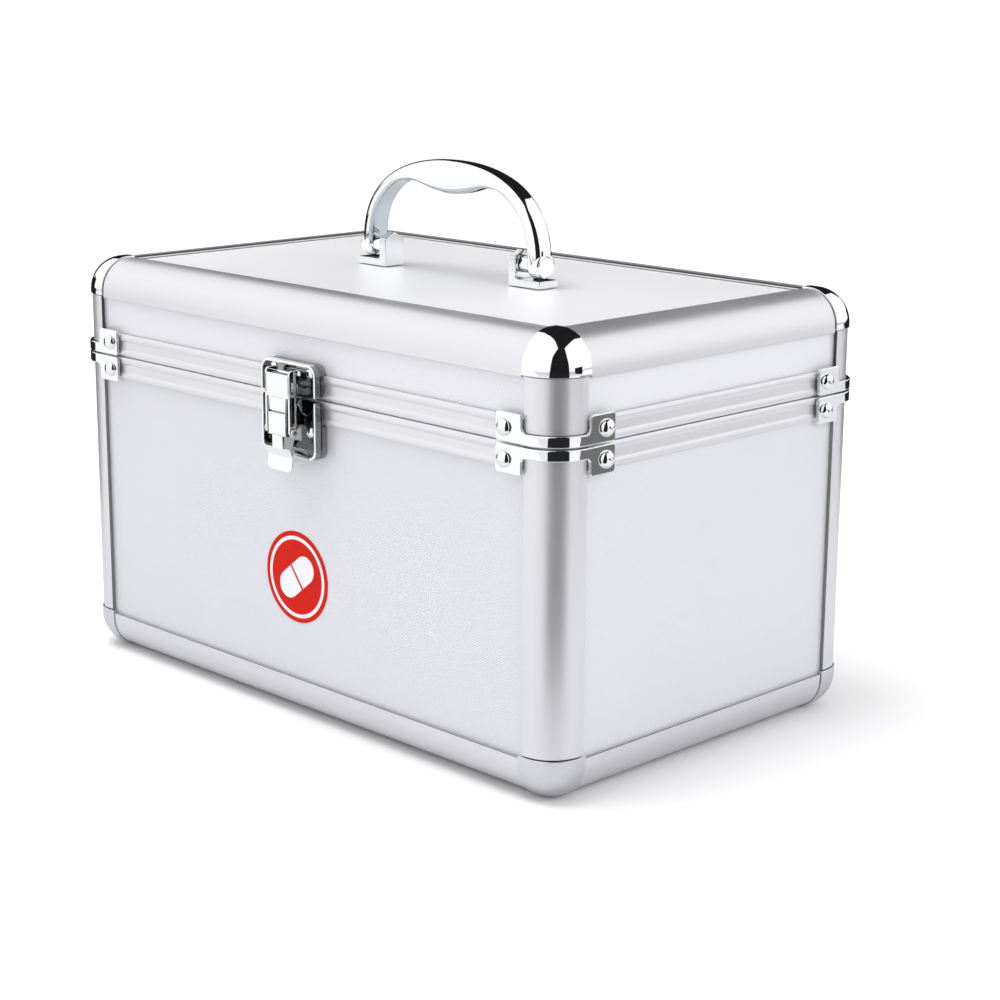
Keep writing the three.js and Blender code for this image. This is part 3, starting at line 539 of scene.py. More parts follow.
# The seam colour is painted shade: a dark line where the flange ends meet the boards, darker on the lid than
# on the base.
def seam_shade_material(name, dark, light):
    return plain_material(name, 0.0, dark, light, (0.6, 0.8), (0.00003, 0.3), 120, specular=0.2)


seam_shades = {
    "lid": seam_shade_material("painted_seam_shade_lid", (0.045, 0.045, 0.042), (0.08, 0.08, 0.075)),
    "base": seam_shade_material("painted_seam_shade_base", (0.16, 0.16, 0.155), (0.24, 0.24, 0.235)),
}


def seam_shaded(piece, seam_shade, upright):
    """Paints the narrow ends of the flanges, which face the boards, with a dark line of painted shade in the
    seam.
    """
    deepest = profile_wall if upright else seam_shade_depth
    outer = Vector((right, rear, top)) - middle

    def on_flange_end(centre, normal):
        place = centre - middle
        depth = [outer[i] - abs(place[i]) for i in range(3)]
        for i in range(3):
            inward = abs(normal[i]) > 0.6 and normal[i] * place[i] < 0
            shallow = min(depth[j] for j in range(3) if j != i) < deepest
            if inward and shallow and abs(depth[i] - profile_leg) < clearance:
                return True
        return False

    piece.data.materials.append(seam_shade)
    return painted(piece, on_flange_end)


quarters = {"front_right": (1, 1), "front_left": (-1, 1), "rear_right": (1, -1), "rear_left": (-1, -1)}
for half in ("lid", "base"):
    low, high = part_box(f"{half}_post_front_right")
    post = extrusion(f"{half}_post", post_place, low.z, high.z)
    for corner, (x, y) in quarters.items():
        twin = mirrored(post, f"{half}_upright_{corner}", x, y)
        seam_shaded(fitted(twin, satin["z"], f"{half}_post_{corner}"), seam_shades[half], True)
    removed(post)

edge_long = extrusion("edge_long", long_place, *(c.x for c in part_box("lid_front_edge")))
edge_short = extrusion("edge_short", short_place, *(c.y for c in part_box("lid_right_edge")))
edge_sides = {
    "front": (edge_long, "x", 1, 1),
    "rear": (edge_long, "x", 1, -1),
    "right": (edge_short, "y", 1, 1),
    "left": (edge_short, "y", -1, 1),
}
for half, z in (("lid", 1), ("base", -1)):
    for side, (edge, axis, x, y) in edge_sides.items():
        twin = mirrored(edge, f"{half}_profile_{side}", x, y, z)
        seam_shaded(fitted(twin, satin[axis], f"{half}_{side}_edge"), seam_shades[half], False)
removed(edge_long, edge_short)
print("extrusions made: 16")

# %% [markdown]
# ## The corner caps
# A cap is a cast ball corner where three extrusions meet. A cube whose three outer edges are bevelled
# by one large radius gives exactly that ball with its short straight skirts. Its inner faces are then
# removed and the skin is given a wall, because the real cap is hollow.

# %% Corner caps
cap_proud = 0.5 * mm
cap_side = 15.5 * mm
cap_wall = 1.6 * mm
lid_cap_drop = 13.7 * mm


def ball_corner(name, drop, soften):
    tip = Vector((right + cap_proud, front - cap_proud, top + cap_proud))
    root = tip + Vector((-cap_side, cap_side, -drop))
    piece = block(name, [min(pair) for pair in zip(tip, root)], [max(pair) for pair in zip(tip, root)])
    near = cap_side / 100
    pick(piece, "EDGE", lambda a, b: (a - tip).length < near or (b - tip).length < near)
    bpy.ops.mesh.bevel(offset=corner_radius + cap_proud, segments=18, profile=0.5, affect="EDGES")
    pick(piece, "FACE", lambda c, n: any(abs(c[i] - root[i]) < near for i in range(3)))
    bpy.ops.mesh.delete(type="FACE")
    return rounded(modified(piece, "SOLIDIFY", thickness=cap_wall, offset=-1), soften, 3, 60)


upper_cap = ball_corner("upper_cap", lid_cap_drop, 0.16 * mm)
lower_cap = ball_corner("lower_cap", cap_side, 0.25 * mm)
for corner, (x, y) in quarters.items():
    fitted(mirrored(upper_cap, f"lid_ball_{corner}", x, y), chrome, f"lid_corner_{corner}")
    lower = mirrored(lower_cap, f"base_ball_{corner}", x, y, -1)
    fitted(lower, cast, f"base_corner_{corner}")
removed(upper_cap, lower_cap)
print("caps made: 8")

# %% [markdown]
# ## The rims
# The rims that meet at the split are extruded strips with a rounded bead along each border and a flat
# band between. One section is pushed along each side, and a plain flange turns each corner under the
# brace. The pieces of a rim are joined, because the real rim is one bent strip.

# %% Rims
rim_height = 8.5 * mm
rim_flange = 3.5 * mm
rim_start = 0.15 * mm
bead_width = 2.8 * mm
bead_rise = 0.5 * mm
rim_stop = profile_leg + clearance
rim_soften = 0.12 * mm


def rim_section():
    radius = bead_width**2 / (8 * bead_rise) + bead_rise / 2
    half_turn = math.degrees(math.asin(bead_width / 2 / radius))
    ring = [(-profile_depth, rim_start)]
    for low in (rim_start, rim_height - bead_width):
        ring += arc((-radius, low + bead_width / 2), radius, -half_turn, half_turn, 8)
    wall, far, flange = profile_wall, groove_far, rim_start + rim_flange
    ring += [(-wall, rim_height), (-wall, flange), (-far, flange), (-far, rim_height)]
    return [*ring, (-profile_depth, rim_height)]


def rim(name):
    section = rim_section()
    long_stop, short_stop = right - rim_stop, rear - rim_stop
    strip_long = [Vector((-long_stop, front - a, split + b)) for a, b in section]
    strip_short = [Vector((right + a, front + rim_stop, split + b)) for a, b in section]
    bar_front = rounded(pushed("bar_front", strip_long, (2 * long_stop, 0, 0)), rim_soften, 2, 25)
    short_run = (0, short_stop - front - rim_stop, 0)
    bar_right = rounded(pushed("bar_right", strip_short, short_run), rim_soften, 2, 25)
    setback, reach = 0.6 * mm, rim_stop + 2 * mm
    inner = [(-reach, -setback), (-reach, -profile_depth), (-profile_depth, -profile_depth)]
    inner += [(-profile_depth, -reach), (-setback, -reach)]
    bend = arc((-corner_radius, -corner_radius), corner_radius - setback, 0, 90, 12)
    ring = [Vector((right + a, front - b, split + rim_start)) for a, b in [*inner, *bend]]
    turn = rounded(pushed("turn", ring, (0, 0, rim_flange)), rim_soften, 2, 40)
    parts = [bar_front, bar_right]
    parts += [mirrored(bar_front, "bar_rear", 1, -1), mirrored(bar_right, "bar_left", -1)]
    parts += [mirrored(turn, f"turn_{i}", x, y) for i, (x, y) in enumerate(quarters.values())]
    removed(turn)
    return joined(name, *parts)


lid_rim = rim("lid_rim_strip")
base_rim = mirrored(lid_rim, "base_rim_strip", 1, 1, -1, at_split)
fitted(lid_rim, satin["x"], "lid_rim")
fitted(base_rim, satin["x"], "base_rim")
print("rims made: 2")

# %% [markdown]
# ## The corner braces
# A brace is one stamped chrome sheet: two ears that are joined by a band, bent round the corner. Here
# too the flat blank is drawn first, cut across its middle where it will bend, and then bent by moving
# its points round the post. Solidify gives it the thickness of the sheet.

# %% Corner braces
brace_sheet = 1.2 * mm
brace_height = 9.4 * mm
brace_band = 3.65 * mm
brace_reach = 25 * mm
brace_cut = 13.7 * mm
rivet_in = 20.9 * mm
brace_rivet = (2.9 * mm, 2.2 * mm)
bend_radius = corner_radius + clearance
bend_length = bend_radius * math.pi / 2
bend_cuts = 14


def brace_blank():
    """Half of the blank's outline, from its middle to the end of one ear, then mirrored."""
    ear = bend_length / 2 - corner_radius
    notch, reach = ear + brace_cut, ear + brace_reach
    fillet, turn = 1.7 * mm, 1.2 * mm
    half = arc((notch - fillet, brace_band + fillet), fillet, -90, 0, 6)
    half += arc((notch + turn, brace_height - turn), turn, 180, 90, 5)
    half += arc((reach - turn, brace_height - turn), turn, 90, 0, 5)
    half += arc((reach - turn, turn), turn, 0, -90, 5)
    return [*half, *[(-u, v) for u, v in reversed(half)]]


def bent(u, v):
    """A point of the blank after bending, on the front right corner."""
    centre = Vector((right - corner_radius, front + corner_radius, split + clearance + v))
    past = abs(u) - bend_length / 2
    if past > 0:
        return centre + Vector((-past, -bend_radius, 0) if u < 0 else (bend_radius, past, 0))
    turn = u / bend_radius - math.pi / 4
    return centre + bend_radius * Vector((math.cos(turn), math.sin(turn), 0))


def rivet(name, place, outward, radius, height):
    """A domed head: a ball flattened along the way it looks, cut off behind the sheet."""
    select_only()
    bpy.ops.mesh.primitive_uv_sphere_add(segments=28, ring_count=16, radius=radius)
    piece = newest(name)
    piece.scale = (1, 1, height / radius)
    settle(piece)
    piece.rotation_euler = Vector(outward).to_track_quat("Z", "Y").to_euler()
    piece.location = place
    settle(piece)
    cut(Vector(place) - Vector(outward) * height / 4, outward, clear_inner=True)
    bpy.ops.object.shade_smooth()
    return piece


def brace(name):
    piece = filled(name, [(u, 0, v) for u, v in brace_blank()])
    for i in range(bend_cuts + 1):
        cut((bend_length * (i / bend_cuts - 0.5), 0, 0), (1, 0, 0))
    for vertex in piece.data.vertices:
        vertex.co = bent(vertex.co.x, vertex.co.z)
    outward = Vector((1, -1, 0))
    if sum(face.normal.dot(outward) for face in piece.data.polygons) < 0:
        piece.data.flip_normals()
    rounded(modified(piece, "SOLIDIFY", thickness=brace_sheet, offset=1), 0.4 * mm, 3, 50)
    rivet_z = split + clearance + brace_height / 2
    out = clearance + brace_sheet
    on_front = Vector((right - rivet_in, front - out, rivet_z))
    on_side = Vector((right + out, front + rivet_in, rivet_z))
    heads = [
        rivet("head", on_front, (0, -1, 0), *brace_rivet),
        rivet("head", on_side, (1, 0, 0), *brace_rivet),
    ]
    return joined(name, piece, *heads)


first_brace = brace("brace")
for corner, (x, y) in quarters.items():
    for half, z in (("lid", 1), ("base", -1)):
        twin = mirrored(first_brace, f"{half}_corner_brace_{corner}", x, y, z, at_split)
        fitted(twin, chrome, f"{half}_brace_{corner}")
removed(first_brace)
print("braces made: 8")

# %% [markdown]
# ## The carrying handle
# The handle is a cast arch, thick at the crown and slim at the legs, with a wavy grip for the fingers
# underneath. A strip of squares is bent so that one side follows a rounded arch and the other a smooth
# curve through a few points. It is pushed to the handle's depth, and its long edges are rounded.

# %% Handle
grip_low, grip_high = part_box("handle_grip")
pin_low, pin_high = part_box("handle_pin_right")
pivot_z = (pin_low.z + pin_high.z) / 2
half_span = grip_high.x
rise = grip_high.z - pivot_z
leg = 5.6 * mm
grip_depth = grip_high.y - grip_low.y
arch_power = 2 / 2.3
arch_steps = 72
# The grip under the arch: shares of its half span and of its rise
grip_shares = [(0.85, 0.28), (0.775, 0.5), (0.6, 0.7), (0.4, 0.745), (0.18, 0.67), (0, 0.64)]


def smooth_through(points, steps):
    """A curve through points, with the tangent at each one taken from its neighbours."""
    ends = [points[0], *points, points[-1]]
    curve = []
    for p0, p1, p2, p3 in zip(ends, ends[1:], ends[2:], ends[3:]):
        for i in range(steps):
            t = i / steps
            blend = [-t + 2 * t**2 - t**3, 2 - 5 * t**2 + 3 * t**3]
            blend += [t + 4 * t**2 - 3 * t**3, -(t**2) + t**3]
            mixed = [sum(b * p[k] for b, p in zip(blend, (p0, p1, p2, p3))) / 2 for k in (0, 1)]
            curve.append(tuple(mixed))
    return [*curve, points[-1]]


def arch_point(turn):
    c, s = math.cos(turn), math.sin(turn)
    return half_span * math.copysign(abs(c) ** arch_power, c), pivot_z + rise * abs(s) ** arch_power


def grip_outline():
    """The inner side of the handle, from one leg to the other, with as many points as the arch."""
    right_side = [(half_span - leg, pivot_z)]
    right_side += [(half_span * x, pivot_z + rise * z) for x, z in grip_shares]
    return smooth_through([*right_side, *[(-x, z) for x, z in right_side[-2::-1]]], 6)


grip_y = (grip_low.y + grip_high.y) / 2
outer_curve = [arch_point(math.pi * i / arch_steps) for i in range(arch_steps + 1)]
grip_curve = grip_outline()
print("points on the arch and on the grip:", len(outer_curve), len(grip_curve))
select_only()
bpy.ops.mesh.primitive_grid_add(x_subdivisions=arch_steps, y_subdivisions=1, size=1)
grip = newest("grip_arch")
for vertex in grip.data.vertices:
    curve = outer_curve if vertex.co.y > 0 else grip_curve
    x, z = curve[round((vertex.co.x + 0.5) * arch_steps)]
    vertex.co = (x, grip_low.y, z)
extruded(grip, (0, grip_depth, 0))


def distance_to(curve, point):
    return min(math.hypot(point.x - x, point.z - z) for x, z in curve)


# The widest rounding, and the shares of the arch's thickness that the outer and inner edges take
grip_round = min(5 * mm, 0.42 * grip_depth)
outer_share = 0.6
inner_share = 0.3
on_curve = 0.02 * mm
roundness = grip.data.attributes.new("bevel_weight_edge", "FLOAT", "EDGE")
for edge in grip.data.edges:
    a, b = (grip.data.vertices[i].co for i in edge.vertices)
    to_outer = max(distance_to(outer_curve, a), distance_to(outer_curve, b))
    to_grip = max(distance_to(grip_curve, a), distance_to(grip_curve, b))
    if abs(a.y - b.y) > on_curve:
        continue
    if to_outer < on_curve:
        roundness.data[edge.index].value = min(1, outer_share * to_grip / grip_round)
    elif to_grip < on_curve:
        roundness.data[edge.index].value = min(1, inner_share * to_outer / grip_round)
modified(grip, "BEVEL", width=grip_round, segments=8, limit_method="WEIGHT", use_clamp_overlap=False)
bpy.ops.object.shade_smooth_by_angle(angle=math.radians(35))


def underneath(centre, normal):
    near_grip = distance_to(grip_curve, centre) < distance_to(outer_curve, centre)
    return near_grip and abs(normal.y) < 0.93


# The faces under the grip take the darker chrome: painted shade
painted(coated(grip, chrome, painted_underside_shade_chrome), underneath)
boss_out = 35.9 * mm
ends = []
for side in (-1, 1):
    inner, outer = side * (half_span - leg), side * half_span
    end = rod("leg_end", grip_depth / 2, (inner, grip_y, pivot_z), (outer, grip_y, pivot_z), 40)
    boss = rod("boss", 3.2 * mm, (side * boss_out, grip_y, pivot_z), (inner + side * mm, grip_y, pivot_z))
    ends += [coated(rounded(end, 1.2 * mm, 4), chrome), coated(rounded(boss, 0.3 * mm), chrome)]
grip = joined("carrying_handle", grip, *ends)
fitted(grip, None, "handle_grip")

# %% [markdown]
# ## The handle's brackets and pins
# Each bracket is a cast post with a gabled top and a foot that runs out under the handle's leg. The
# side outline is pushed through, and the gable is cut by two bisecting planes that also fill the cut.
# A pin with a rounded head passes through the post into the leg.

# %% Handle brackets and pins
bracket_low, bracket_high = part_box("handle_bracket_right")
bracket_post = 3.6 * mm
bracket_foot = 2.7 * mm
bracket_fillet = 0.9 * mm
gable_drop = 2.4 * mm


def bracket(name):
    low, high = bracket_low, bracket_high
    post_x, foot_z = low.x + bracket_post, low.z + bracket_foot
    outline = [(low.x, low.z), (high.x, low.z), (high.x, foot_z)]
    outline += arc((post_x + bracket_fillet, foot_z + bracket_fillet), bracket_fillet, 270, 180, 4)
    outline += [(post_x, high.z), (low.x, high.z)]
    piece = pushed(name, [Vector((x, low.y, z)) for x, z in outline], (0, high.y - low.y, 0))
    half = (high.y - low.y) / 2
    for side in (-1, 1):
        shoulder = Vector((low.x, grip_y + side * half, high.z - gable_drop))
        cut(shoulder, Vector((0, side * gable_drop, half)).normalized(), clear_outer=True)
    return rounded(piece, 0.5 * mm, 3, 25)


def handle_pin(name):
    ends = [(x, grip_y, pivot_z) for x in (bracket_low.x + 0.2 * mm, pin_high.x)]
    return rounded(rod(name, 1.8 * mm, *ends), 0.5 * mm, 3)


right_bracket = bracket("handle_post_right")
right_pin = handle_pin("handle_pivot_right")
left_bracket = mirrored(right_bracket, "handle_post_left", -1)
left_pin = mirrored(right_pin, "handle_pivot_left", -1)
for side, post, pin in (("right", right_bracket, right_pin), ("left", left_bracket, left_pin)):
    fitted(post, dull_chrome, f"handle_bracket_{side}")
    fitted(pin, chrome, f"handle_pin_{side}")
print("handle parts made: 5")

# %% [markdown]
# ## The latch plates
# Two dished plates carry the latch. Each is a pressed chrome sheet with a raised wall round three
# sides, so a floor is pushed from a rounded outline and a wall from the ring between that outline and
# a smaller one. The rivets sit on the floor, and the catch's hook and the lever's lugs grow from it.

# %% Latch plates
plate_low, plate_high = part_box("latch_base_plate")
latch_x = (plate_low.x + plate_high.x) / 2
plate_half = (plate_high.x - plate_low.x) / 2
wall = 1.2 * mm
back = front - clearance
face = back - 3.3 * mm
floor_out = back - wall
catch_wall_low = split + 0.9 * mm
pad_sink = 1.2 * mm
rivet_aside = 9.4 * mm
small_rivet = (1.9 * mm, 0.9 * mm)
outer_bend, inner_bend = 4 * mm, 2.8 * mm


def plate_ring(half, low, high, radius):
    """A plate's outline, square at low and rounded at high; swap the two for a plate that hangs down."""
    up = 1 if high > low else -1
    bend = [(half - radius + x, high - up * radius + up * z) for x, z in arc((0, 0), radius, 0, 90, 10)]
    right_half = [(half, low), *bend]
    return [*right_half, *[(-x, z) for x, z in reversed(right_half)]]


def at_latch(ring, y):
    return [Vector((latch_x + x, y, z)) for x, z in ring]


def dished_plate(name, low, high, rivet_z, pad_low):
    """The floor of a plate, its raised wall, the pad behind it and its two rivets."""
    up = 1 if high > low else -1
    outer = plate_ring(plate_half, low, high, outer_bend)
    inner = plate_ring(plate_half - wall, low, high - up * wall, inner_bend)
    floor = rounded(pushed(f"{name}_floor", at_latch(outer, back), (0, floor_out - back, 0)), 0.25 * mm, 2)
    lip = pushed(f"{name}_lip", at_latch([*outer, *reversed(inner)], back), (0, face - back, 0))
    # The lip's right-facing walls take the dark chrome: painted shade
    coated(rounded(lip, 0.45 * mm, 4), chrome, painted_shade_chrome)
    painted(lip, lambda c, n: abs(n.y) < 0.3 and n.x > 0.3)
    pad_ring = at_latch(plate_ring(plate_half, pad_low, high, outer_bend), back)
    # The pad behind the plate and the plate's floor are dark chrome: painted shade
    pad = coated(pushed(f"{name}_pad", pad_ring, (0, front + pad_sink - back, 0)), painted_shade_chrome)
    spots = [Vector((latch_x + x, floor_out, rivet_z)) for x in (-rivet_aside, rivet_aside)]
    rivets = [coated(rivet(f"{name}_rivet", spot, (0, -1, 0), *small_rivet), chrome) for spot in spots]
    return [coated(floor, painted_shade_chrome), lip, pad, *rivets]


def latch_outline(name, points, x0, x1, soften=0.25 * mm, segments=3):
    """An outline of (out, up) points seen from the side, between two places along the latch."""
    ring = [Vector((latch_x + x0, front - out, z)) for out, z in points]
    return rounded(pushed(name, ring, (x1 - x0, 0, 0)), soften, segments)


crossbar_z = split + 8 * mm
shelf = crossbar_z - 1.2 * mm
hook_root, hook_in, hook_out = 0.9 * mm, 6.05 * mm, 6.85 * mm
hook_top = crossbar_z + 0.7 * mm
hook = [(hook_root, shelf - 1.5 * mm), (hook_out, shelf - 1.5 * mm), (hook_out, hook_top)]
hook += [(hook_in, hook_top), (hook_in, shelf), (hook_root, shelf)]
catch_high = catch_wall_low + 11.2 * mm
catch = dished_plate("catch", catch_wall_low, catch_high, catch_high - 3.1 * mm, split + 8.8 * mm)
# The hook is dark chrome: painted shade in the hollow of the plate
catch.append(coated(latch_outline("hook", hook, -4 * mm, 4 * mm, 0.2 * mm, 2), painted_shade_chrome))
fitted(joined("catch_plate_on_lid", *catch), None, "latch_catch_plate")

lever_pivot_z = split - 1.2 * mm
lever_pivot_out = 3.6 * mm
lever_pivot = (lever_pivot_out, lever_pivot_z)
barrel = 1.7 * mm
lug_low = lever_pivot_z - 2 * barrel
lug = [(hook_root, lug_low - barrel), (lever_pivot_out, lug_low), (lever_pivot_out + barrel, lever_pivot_z)]
lug += [*arc(lever_pivot, barrel, 10, 90, 6), (hook_root, lever_pivot_z + barrel)]
base_low = split - 20.8 * mm
base_plate = dished_plate("base", split - 0.5 * mm, base_low, split - 11.4 * mm, split - 8.8 * mm)
# The lugs are dark chrome: painted shade
for x in (-8 * mm, 6.8 * mm):
    base_plate.append(coated(latch_outline("lug", lug, x, x + 1.2 * mm, 0.2 * mm, 2), painted_shade_chrome))
fitted(joined("latch_plate_on_base", *base_plate), None, "latch_base_plate")

# %% [markdown]
# ## The latch lever and its loop
# The lever is a pressed channel: a face with a crease, two cheeks that reach back to the pivot, a
# narrow neck and a finger tab. The loop is bent from strip, with a plate across its front, and its
# crossbar lies in the hook. Pins join them, so both are made as separate moving pieces.

# %% Latch lever and loop
loop_pivot_z = lever_pivot_z - 10 * mm
loop_pivot_out = 6.5 * mm
loop_pivot = (loop_pivot_out, loop_pivot_z)
lever_half = 5.2 * mm
gauge = 0.9 * mm
lever_face = 8.4 * mm
lever_back = lever_face - gauge
lever_top_z = lever_pivot_z + barrel
skin_low = lever_top_z - 13.3 * mm
neck_low = skin_low - 4.2 * mm
neck_half = 2.7 * mm
tab_bend = neck_low - 3.3 * mm
tab_low = neck_low - 8.2 * mm
tab_half = 6.6 * mm
crease_z = lever_top_z - 5 * mm
crease_in = 0.3 * mm
lower_z = crease_z - 0.5 * mm
soft = 0.2 * mm

upper_face, upper_back = lever_face - crease_in, lever_back - crease_in
skin = [(upper_face, lever_top_z), (lever_pivot_out, lever_top_z), (lever_pivot_out, lever_top_z - gauge)]
skin += [(upper_back, lever_top_z - gauge), (upper_back, crease_z), (upper_face, crease_z)]
lower_skin = [(lever_back, skin_low), (lever_face, skin_low), (lever_face, lower_z), (lever_back, lower_z)]
seam_in = lever_back - 0.1 * mm
seam_out = seam_in + gauge / 3
seam = [(seam_in, lower_z - gauge), (seam_out, lower_z - gauge)]
seam += [(seam_out, crease_z + gauge), (seam_in, crease_z + gauge)]
cheek = [(upper_face, lever_top_z), *arc(lever_pivot, barrel, 90, 180, 6)]
cheek += [(loop_pivot_out - 2 * barrel, loop_pivot_z + barrel)]
cheek += [(loop_pivot_out - barrel, loop_pivot_z - barrel)]
cheek += [(lever_back, skin_low), (lever_face, skin_low), (lever_face, crease_z)]
overlap = 0.4 * mm
neck = [(lever_back, neck_low - overlap), (lever_face, neck_low - overlap)]
neck += [(lever_face, skin_low + overlap), (lever_back, skin_low + overlap)]
bend_face = lever_face - 1.2 * mm
tab_face = bend_face + 0.7 * mm
tab = [(lever_back, neck_low), (bend_face - gauge, tab_bend), (tab_face - gauge, tab_low)]
tab += [(tab_face, tab_low), (bend_face, tab_bend), (lever_face, neck_low)]


def across(name, radius, half, out, z):
    ends = [(latch_x + side * half, front - out, z) for side in (-1, 1)]
    return rounded(rod(name, radius, *ends), 0.2 * mm)


def finger_tab(name):
    """The tab, with its two lower corners turned round before its edges are softened."""
    ring = [Vector((latch_x - tab_half, front - out, z)) for out, z in tab]
    piece = pushed(name, ring, (2 * tab_half, 0, 0))
    near = 0.01 * mm
    pick(piece, "EDGE", lambda a, b: abs(a.x - b.x) < near and max(a.z, b.z) < tab_low + near)
    bpy.ops.mesh.bevel(offset=2.2 * mm, segments=6, affect="EDGES")
    return rounded(piece, 0.25 * mm, 3)


# In the lever, the seam, the cheeks and the barrel are dark chrome: painted shade
lever_rows = [
    ("skin", skin, -lever_half, lever_half, soft, 3, chrome),
    ("lower_skin", lower_skin, -lever_half, lever_half, soft, 3, chrome),
    ("seam", seam, gauge - lever_half, lever_half - gauge, soft / 10, 1, painted_shade_chrome),
    ("cheek_left", cheek, -lever_half, gauge - lever_half, soft, 3, painted_shade_chrome),
    ("cheek_right", cheek, lever_half - gauge, lever_half, soft, 3, painted_shade_chrome),
    ("neck", neck, -neck_half, neck_half, soft / 2, 3, chrome),
]
lever = [coated(latch_outline(name, *shape), metal) for name, *shape, metal in lever_rows]
lever.append(coated(finger_tab("tab"), chrome))
lever.append(coated(across("lever_barrel", barrel, lever_half, *lever_pivot), painted_shade_chrome))
fitted(joined("latch_lever_shell", *lever), None, "latch_lever")

loop_half = 6.5 * mm
pin_radius = 0.9 * mm
strip = 0.95 * mm
strip_in = 4.9 * mm
strip_out = 8.1 * mm
bend_out = (strip_out - strip_in) / 2
loop_top = split + 10 * mm
arm = arc(loop_pivot, bend_out, 180, 360, 10)
arm += arc((strip_out - bend_out, loop_top - bend_out), bend_out, 0, 90, 8)
arm += [(3.9 * mm, loop_top), (3 * mm, loop_top - 0.9 * mm), (3 * mm, crossbar_z - 0.9 * mm)]
arm += [(strip_in, crossbar_z - 1.8 * mm - bend_out)]
loop_plate = [(strip_out - gauge, loop_top - 8.8 * mm), (strip_out, loop_top - 8.8 * mm)]
loop_plate += [(strip_out, loop_top - bend_out), (strip_out - gauge, loop_top - bend_out)]


def slotted_arm(name, x0, x1):
    """One arm of the loop with its long slot, cut by a rounded block before the edges are softened."""
    ring = [Vector((latch_x + x0, front - out, z)) for out, z in arm]
    piece = pushed(name, ring, (x1 - x0, 0, 0))
    slot_low = Vector((latch_x + x0 - mm, front - 7.25 * mm, loop_pivot_z + 2.6 * mm))
    slot_high = Vector((latch_x + x1 + mm, front - 5.75 * mm, loop_pivot_z + 17.8 * mm))
    cutter = rounded(block("slot", slot_low, slot_high), 0.5 * mm)
    modified(piece, "BOOLEAN", object=cutter, operation="DIFFERENCE")
    removed(cutter)
    return rounded(piece, 0.18 * mm, 3)


loop = joined(
    "latch_loop_strip",
    slotted_arm("arm_left", -loop_half, -loop_half + strip),
    slotted_arm("arm_right", loop_half - strip, loop_half),
    latch_outline("loop_plate", loop_plate, -loop_half, loop_half, 0.4 * mm),
    across("rolled_lip", 0.6 * mm, loop_half - strip / 2, strip_out - 0.25 * mm, loop_top - 9.2 * mm),
    across("crossbar", pin_radius, loop_half - strip / 2, 4.1 * mm, crossbar_z),
)
fitted(loop, chrome, "latch_loop")
lever_pin = across("lever_pivot_pin", pin_radius, 8 * mm, *lever_pivot)
fitted(lever_pin, chrome, "latch_lever_pin")
head_in, head_out = loop_half + clearance, loop_half + 0.9 * mm
loop_pin = [across("shank", pin_radius, head_out, *loop_pivot)]
for side in (-1, 1):
    ends = [(latch_x + side * x, front - loop_pivot_out, loop_pivot_z) for x in (head_in, head_out)]
    loop_pin.append(rounded(rod("pin_head", 1.5 * mm, *ends), soft))
fitted(joined("loop_pivot_pin", *loop_pin), chrome, "latch_loop_pin")
print("latch parts made: 6")

# %% [markdown]
# ## The hinge
# A long strip hinge joins the lid to the base at the rear. Each leaf is a thin plate with every other
# knuckle of the barrel, riveted through. The leaf is a block, the knuckles are rods with a web to the
# leaf, and the two leaves interlock on one pin.

# %% Hinge
pin_start, pin_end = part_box("hinge_pin")
hinge_y = (pin_start.y + pin_end.y) / 2
hinge_half = (pin_end.x - pin_start.x) / 2
knuckles = 9
knuckle_gap = 0.4 * mm
leaf_height = 8.5 * mm
leaf_rivets = 6
knuckle_pitch = (2 * hinge_half + knuckle_gap) / knuckles


def hinge_leaf(name, up, first):
    leaf_y = rear + clearance
    heights = sorted((split + up * clearance, split + up * leaf_height))
    webs = sorted((split + up * clearance, split + up * 1.7 * mm))
    leaf = block("leaf", (-hinge_half, leaf_y, heights[0]), (hinge_half, leaf_y + mm, heights[1]))
    parts = [rounded(leaf, 0.25 * mm)]
    for i in range(first, knuckles, 2):
        start = -hinge_half + i * knuckle_pitch
        end = start + knuckle_pitch - knuckle_gap
        knuckle = rod("knuckle", 2.1 * mm, (start, hinge_y, split), (end, hinge_y, split), 40)
        parts.append(rounded(knuckle, 0.25 * mm))
        parts.append(block("web", (start, leaf_y + mm / 2, webs[0]), (end, hinge_y, webs[1])))
    for i in range(leaf_rivets):
        x = -hinge_half + (i + 0.5) * 2 * hinge_half / leaf_rivets
        place = Vector((x, leaf_y + mm, split + up * 6 * mm))
        parts.append(rivet("leaf_rivet", place, (0, 1, 0), *small_rivet))
    return joined(name, *parts)


fitted(hinge_leaf("hinge_leaf_on_base", -1, 0), chrome, "hinge_base_leaf")
fitted(hinge_leaf("hinge_leaf_on_lid", 1, 1), chrome, "hinge_lid_leaf")
hinge_rod = rod("hinge_rod", mm, (-hinge_half, hinge_y, split), (hinge_half, hinge_y, split))
fitted(rounded(hinge_rod, 0.2 * mm), chrome, "hinge_pin")
print("hinge parts made: 3")

# %% [markdown]
# ## The linings
# Foam trays line both halves, seen only when the lid is open. Each tray is a block with rounded
# corners whose open side is removed. It gets a wall inwards, and every edge is softened, as foam is.

# %% Linings
liner_wall = 1.5 * mm


def lining(name, node, open_up):
    low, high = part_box(node)
    piece = block(name, low, high)
    open_z = high.z if open_up else low.z
    pick(piece, "EDGE", lambda a, b: not (abs(a.z - open_z) < mm and abs(b.z - open_z) < mm))
    bpy.ops.mesh.bevel(offset=3 * mm, segments=5, affect="EDGES")
    pick(piece, "FACE", lambda c, n: abs(c.z - open_z) < mm and abs(n.z) > 0.9)
    bpy.ops.mesh.delete(type="FACE")
    return rounded(modified(piece, "SOLIDIFY", thickness=liner_wall, offset=-1), 0.5 * mm, 3, 50)


for name, node, open_up in (("base_foam", "base_liner", True), ("lid_foam", "lid_liner", False)):
    tray = fitted(lining(name, node, open_up), foam, node)
print("linings made: 2")

